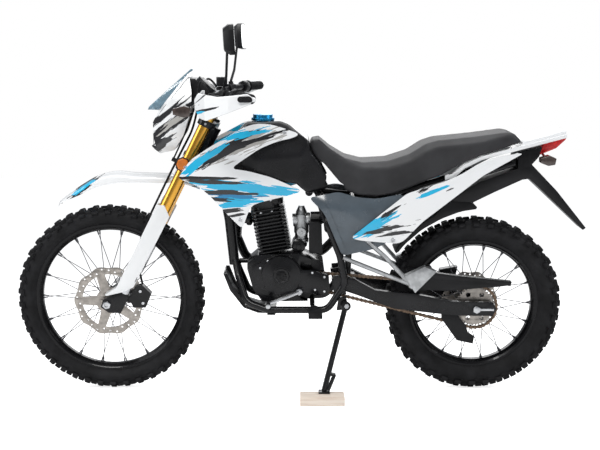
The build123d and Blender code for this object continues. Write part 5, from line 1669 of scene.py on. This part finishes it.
# %% Electrics, starter and case screws
battery_box = plate(eased([(498, 602), (556, 602), (560, 712), (500, 712)], 8.0), -44, 62, (),
                    3.0, 3)
coil = joined(rod((612, 20, 752), (612, 62, 752), 14, 2.0),
              rod((596, 30, 752), (560, 34, 742), 5, 1.0, 16))
relay = plate(eased([(562, 520), (612, 520), (612, 640), (566, 640)], 6.0, 1), -40, 40, (), 2.0)
starter = joined(turned([(-60, 0), (-60, 22), (-56, 25), (40, 25), (42, 22), (46, 22), (48, 18),
                         (48, 0)], (650, 0, 548), (0, 1, 0), 40),
                 rod((650, 48, 548), (650, 62, 548), 9))
piece("electrics", joined(battery_box, coil, relay), black_plastic, "chassis",
      (), 35.0)
piece("starter_motor", starter, powder_black, "chassis", (), 35.0)
case_bolts = screws(4.5, 4.0, [(590, 98, 398), (556, 98, 392), (556, 98, 446), (600, 98, 462),
                               (790, 90, 478), (762, 90, 504), (700, 90, 500), (652, 90, 470)])
piece("case_bolts", case_bolts, bright_steel, "chassis", (), 30.0)

# %% [markdown]
# ### Barrel and head
# The barrel leans forward a little.  It is drawn lying down as flat plates, which are
# then stood on its own axis: thirteen thin fins round a core, two blocks for the head,
# and the turned caps over the valves and the side cover.

# %% Barrel and head
barrel = Matrix.Translation((735, 0, 526)) @ Matrix.Rotation(radians(10.0), 4, "Y")
lying = Matrix.Rotation(radians(-90.0), 4, "X")
fin_count, fin_step = 13, 13.0


def box_outline(half_length, half_width, reach, rounds=2):
    """Rectangle about the barrel's axis with its corners cut."""
    return eased([(-half_length, -half_width), (half_length, -half_width),
                  (half_length, half_width), (-half_length, half_width)], reach, rounds)


fin_outline = eased([(-62, -58), (-48, -72), (48, -72), (62, -58), (62, 58), (48, 72), (-48, 72),
                     (-62, 58)], 8.0, 1)
fin = plate(fin_outline, -12.5, -8.0, (), 0.8, 1)
core = plate(box_outline(46, 50, 9.0, 1), -176, -3, (), 1.0)
head_low = plate(box_outline(60, 56, 10.0), -196, -176, (), 2.0)
head_high = plate(box_outline(53, 50, 12.0), -216, -194, (), 5.0, 3)
for form in (fin, core, head_low, head_high):
    form.transform(barrel @ lying)
fins = in_a_row(fin, fin_count, barrel.to_3x3() @ Vector((0, 0, fin_step)), powder_black)
head_parts = [fins, core, head_low, head_high]
for forward in (-30, 30):
    cap_at = barrel @ Vector((forward, 0, 192))
    head_parts.append(turned(disc_profile(-62, 62, 17, 2.5), cap_at, (0, 1, 0), 32))
    head_parts.append(turned([(62, 0), (62, 9), (67, 9), (67, 0)], cap_at, (0, 1, 0), 6))
head_parts.append(turned([(0, 34), (8, 34), (12, 31), (13, 26), (11, 22), (11, 0)],
                         barrel @ Vector((4, 54, 178)), (0, 1, 0), 48))
piece("cylinder", joined(*head_parts), powder_black, "chassis", ("cylinder",), 35.0)
head_bolts = screws(4.5, 5.0, [barrel @ Vector((4 + cos(angle) * 30, 65, 178 + sin(angle) * 30))
                               for angle in (0.8, 2.4, 4.0, 5.5)])
piece("head_bolts", head_bolts, bright_steel, "chassis", (), 30.0)

# %% [markdown]
# ### Carburettor
# Three turned bodies cross in one casting: the throat that runs from the intake to the
# head, the chamber below it and the slide's tower above.  Cast aluminium keeps its own
# grey, so it stands out from the black engine.

# %% Carburettor
carburettor = joined(
    turned([(0, 0), (0, 22), (6, 24), (14, 24), (18, 20), (44, 20), (50, 24), (66, 24), (66, 0)],
           (606, 0, 646), Vector((66, 0, -6)), 40),
    turned([(0, 0), (0, 18), (3, 21), (14, 22), (18, 26), (30, 27), (34, 24), (50, 24), (54, 27),
            (122, 27), (122, 0)], (640, 0, 540), (0, 0, 1), 40),
    turned([(0, 0), (0, 20), (22, 20), (28, 17), (44, 10), (44, 0)], (640, 0, 650), (0, 0, 1), 32),
    turned(disc_profile(0, 20, 18, 2.0), (640, 24, 600), (0, 1, 0), 32),
    rod((640, 40, 600), (640, 48, 600), 6.0),
    at_places(bolt_head(3.5, 4.0), [(622, 16, 560), (658, 16, 560), (640, 27, 556)], (0, 1, 0),
              cast_aluminium),
)
piece("carburettor", carburettor, cast_aluminium, "chassis",
      ("carburettor",), 35.0)

# %% [markdown]
# ### Shock absorber
# The damper is two turned bars, one inside the other, with a cupped seat at each end of
# the spring.  The spring is a helix of points that a round section is swept along.

# %% Shock and its spring
shock_top = Vector((452, 0, 712.7))
shock_foot = Vector((462, 0, 560))
shock_way = (shock_foot - shock_top).normalized()
shock_side = shock_way.orthogonal().normalized()
shock_cross = shock_way.cross(shock_side)
coil_radius, wire_radius = 25.0, 4.2
coil_start, coil_length = 16, 126
coil_steps = 104
spring_points = []
for step in range(coil_steps + 1):
    angle = 2 * pi * step / 16
    spring_points.append(shock_top + shock_way * (coil_start + coil_length * step / coil_steps)
                         + (shock_side * cos(angle) + shock_cross * sin(angle)) * coil_radius)
spring_line = new_line(wire_radius, 3, 2)
smooth_spline(spring_line, spring_points)
shock = joined(rod(shock_top, shock_foot, 19, 2.0), rod(shock_foot, (468, 0, 434.3), 12),
               turned(disc_profile(10, 16, 30, 1.5), shock_top, shock_way, 40),
               turned(disc_profile(143, 149, 30, 1.5), shock_top, shock_way, 40))
piece("rear_shock", shock, powder_black, "chassis", ("rear_shock",), 35.0)
piece("shock_spring", evaluated(spring_line), bright_steel, "chassis", (), 60.0)

# %% [markdown]
# ## Handlebar and what sits on it
# The bar is one bent tube, so it is swept like the frame.  Grips are moulded rubber with
# fine rings, turned round the bar's end, and one ring of four points repeats along them.

# %% Handlebar and grips
bar_middle = fork(leg_lead, 0, 819.3)
bar_end = Vector((wheelbase - 544, 402, 1112))
bar_bend = Vector((wheelbase - 476, 236, 1116))
bar_rise = Vector((bar_middle.x - 16, 150, bar_middle.z + 46))
bar_clamp = (bar_middle.x, 84, bar_middle.z)
left_bar = bent([bar_end, bar_bend, bar_rise, bar_clamp, tuple(bar_middle)], [60, 45, 28], 11)
piece("handlebar", both_sides(left_bar), powder_black, "steering",
      ("handlebar",), 40.0)
grip_length = 122
grip_rings, ring_step = 18, 6.0
grip_way = (bar_end - bar_bend).normalized()
grip_profile = [(0, 11.3), (0, 22), (5, 22.5), (6, 17)]
for ring in range(grip_rings):
    low = 10 + ring * ring_step
    grip_profile += [(low, 15.2), (low + 0.8, 16.5), (low + 3.6, 16.5), (low + 4.4, 15.2)]
grip_profile += [(120, 16.5), (grip_length, 15), (grip_length, 11.3)]
grip = turned(grip_profile, bar_end - grip_way * grip_length, grip_way, 36)
piece("grips", both_sides(grip), black_rubber, "steering", ("grips",), 35.0)

# %% [markdown]
# ### Mirrors
# A mirror is a moulded shell with a silvered glass let into its face.  The shell is the
# solid with rounded edges.  The glass is a low dome of three rings in a finish that is
# all mirror, because a flat disc would reflect a single tone.

# %% Mirrors
mirror_back = Vector((wheelbase - 468, 328, 1304))
facing = Vector((-1, -0.10, 0.05)).normalized()
glass_left = Vector((-0.10, 1, 0)).normalized()
glass_up = facing.cross(glass_left).normalized()
mirror_ring = eased([(-52, -38), (-60, 0), (-48, 44), (46, 50), (62, 36), (58, -30), (40, -48),
                     (-30, -50)], 16.0)
glass_rows = []
for along, share in ((15.9, 0.0), (16.6, 0.9), (16.2, 0.93)):
    glass_rows.append([mirror_back + facing * along + glass_left * x * share + glass_up * z * share
                       for x, z in mirror_ring + mirror_ring[:1]])
mirror_glass = keep(Recipe("mirror_glass", (0.75, 0.78, 0.8), 0.03, 1.0))
mirror_glass.sheen_change(20.0, 0.02, 0.05)
piece("mirror_glasses", both_sides(loft(glass_rows)), mirror_glass, "steering",
      (), 50.0)
soft_piece("mirrors", 4.0, 3, black_plastic, "steering", 45.0)

# %% [markdown]
# ### Plates on the hand guards
# Each guard is held to the bar's end through a small black plate with two screws, drawn
# flat about the origin and then turned a few degrees to follow the guard.

# %% Bolt plates on the hand guards
plate_form = joined(
    plate(eased([(-26, -10), (24, -7), (24, 12), (-22, 11)], 6.0), -2.0, 2.0),
    screws(4.5, 3.5, [(-12, 2, 0), (12, 2, 3)]))
plate_form.transform(Matrix.Translation((wheelbase - 524, 434.5, 1112))
                     @ Matrix.Rotation(radians(4), 4, "Y"))
piece("guard_plates", both_sides(plate_form), black_plastic, "steering", (), 35.0)

# %% [markdown]
# ## What only needs soft edges
# Cast, forged and folded pieces already have their real outline in the solids.  Each gets
# the radius that its process leaves: large on castings, small on folded sheet.

# %% Soft edges by table
soft_table = (
    # node, edge radius in mm, segments, body, finish
    ("bar_controls", 2.2, 2, "steering", black_plastic),
    ("instrument_pod", 3.0, 3, "steering", black_plastic),
    ("windscreen", 1.2, 2, "steering", clear_plastic),
    ("swingarm", 3.5, 3, "chassis", powder_black),
    ("rear_axle", 1.2, 2, "chassis", bright_steel),
    ("chain_guards", 1.4, 2, "chassis", black_plastic),
    ("air_box", 4.0, 3, "chassis", black_plastic),
    ("rear_rack", 2.2, 2, "chassis", white_plastic),
    ("tail_light", 4.0, 3, "chassis", red_lens),
    ("rear_fender", 2.4, 2, "chassis", black_plastic),
    ("bash_plate", 1.0, 2, "chassis", powder_black),
    ("foot_pegs", 1.6, 2, "chassis", black_rubber),
    ("passenger_pegs", 1.6, 2, "chassis", cast_aluminium),
    ("foot_levers", 1.6, 2, "chassis", bright_steel),
    ("rear_caliper", 2.4, 2, "chassis", powder_black),
    ("side_stand", 1.6, 2, "stand", powder_black),
    ("stand_block", 1.2, 2, "chassis", bare_wood),
    ("fuel_cap", 2.0, 3, "chassis", blue_aluminium),
)
for node, width, segments, body, finish in soft_table:
    soft_piece(node, width, segments, finish, body)

# %% [markdown]
# ### Inner mudguard
# A second mudguard hugs the rear tyre's front, between the frame's sides.  Its section
# is the same all across, so it is one bent outline, extruded across the machine.

# %% Inner mudguard
inner_guard = plate(eased([(106, 723), (19, 716), (-5, 692), (60, 682), (130, 655), (200, 615),
                           (262, 560), (290, 525), (300, 534), (272, 574), (210, 634),
                           (150, 672)], 10.0, 1), -66, 66, (), 2.0)
piece("inner_mudguard", inner_guard, black_plastic, "chassis", (), 30.0)

# %% [markdown]
# ### Indicators
# The lenses are smoked, so when they are off they look nearly black with a warm tint.
# The stalks share that finish, since lens and stalk are one solid.

# %% Indicators
smoked_lens = keep(Recipe("smoked_lens", (0.05, 0.035, 0.03), 0.12))
smoked_lens.tone(40.0, 0.7, 1.5)
smoked_lens.coat(0.6, 0.05)
soft_piece("front_indicators", 4.0, 3, smoked_lens, "steering")
soft_piece("rear_indicators", 4.0, 3, smoked_lens, "chassis")

# %% [markdown]
# ## Brake hose and clutch cable
# Both are flexible lines of a fixed length, so each is one spline with a round section,
# on the route that the solids take.  They leave the controls on the bar, sweep round the
# instruments and end at the front caliper and in a clip behind the headlight.

# %% Flexible lines
def flexible(name, points, radius, node):
    """Cord of the steering on a smooth spline, which then gets its round section."""
    line = new_line(0.0, 5, 16)
    line.name = name
    smooth_spline(line, [machine @ Vector(place) for place in points])
    made = shown(name, line)
    graph = bpy.context.evaluated_depsgraph_get()
    graph.update()
    course = bpy.data.meshes.new_from_object(made.evaluated_get(graph))
    bpy.data.meshes.remove(course)
    line.bevel_depth = radius / 1000
    line.materials.append(black_rubber.material)
    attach(made, "steering")
    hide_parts(node)


perch_middle = bar_rise + (bar_bend - bar_rise).normalized() * 46
cable_start = perch_middle + Vector((54, -8, 6))
lever_x, lever_y, lever_z = cable_start
hose_lead, hose_left = 63, 67
flexible("brake_hose", [
    (lever_x, -lever_y, lever_z), (lever_x + 22, -lever_y, lever_z + 34),
    (wheelbase - 346, -122, lever_z + 26), (wheelbase - 330, -70, lever_z - 46),
    fork(hose_lead, -40, 700), fork(hose_lead, 0, 640), fork(hose_lead, 50, 575),
    fork(hose_lead, hose_left, 510), fork(hose_lead, hose_left, 250),
    fork(10, hose_left, 150), fork(-22, hose_left, 112.3)], 4.0, "brake_hoses")
flexible("clutch_cable", [
    tuple(cable_start), (lever_x + 22, lever_y, lever_z + 40),
    (wheelbase - 350, 120, lever_z + 36), (wheelbase - 334, 70, lever_z - 40),
    fork(77, 44, 690), fork(77, 22, 577)], 3.0, "control_cables")
clip = rod(fork(54.5, 22, 573), fork(82, 22, 573), 8.0, 1.0, 16)
piece("cable_clip", clip, black_plastic, "steering", (), 35.0)

# %% [markdown]
# ## Floor
# The floor is one large sheet that takes the machine's shadow.  To the camera it also
# glows a little, so that it meets the white air without a grey band; mirrors, lenses and
# the panels' undersides see the plain paint, so it throws no more light on the machine.

# %% Floor
floor_half = 30
camera_glow = 0.78
floor_mesh = bpy.data.meshes.new("floor")
floor_mesh.from_pydata([(x * floor_half, y * floor_half, 0) for x, y in
                        ((-1, -1), (1, -1), (1, 1), (-1, 1))], [], [(0, 1, 2, 3)])
floor = shown("floor", floor_mesh)
floor_paint = Recipe("floor_paint", (0.92, 0.92, 0.92), 0.7)
floor_glow = floor_paint.add("ShaderNodeEmission")
floor_glow.inputs["Strength"].default_value = camera_glow
floor_both = floor_paint.add("ShaderNodeAddShader")
floor_ray = floor_paint.add("ShaderNodeLightPath")
floor_choice = floor_paint.add("ShaderNodeMixShader")
wire(floor_paint.tree,
     (floor_paint.shader.outputs["BSDF"], floor_both.inputs[0]),
     (floor_glow.outputs["Emission"], floor_both.inputs[1]),
     (floor_ray.outputs["Is Camera Ray"], floor_choice.inputs["Fac"]),
     (floor_paint.shader.outputs["BSDF"], floor_choice.inputs[1]),
     (floor_both.outputs["Shader"], floor_choice.inputs[2]),
     (floor_choice.outputs["Shader"],
      floor_paint.tree.nodes["Material Output"].inputs["Surface"]))
floor_mesh.materials.append(floor_paint.material)
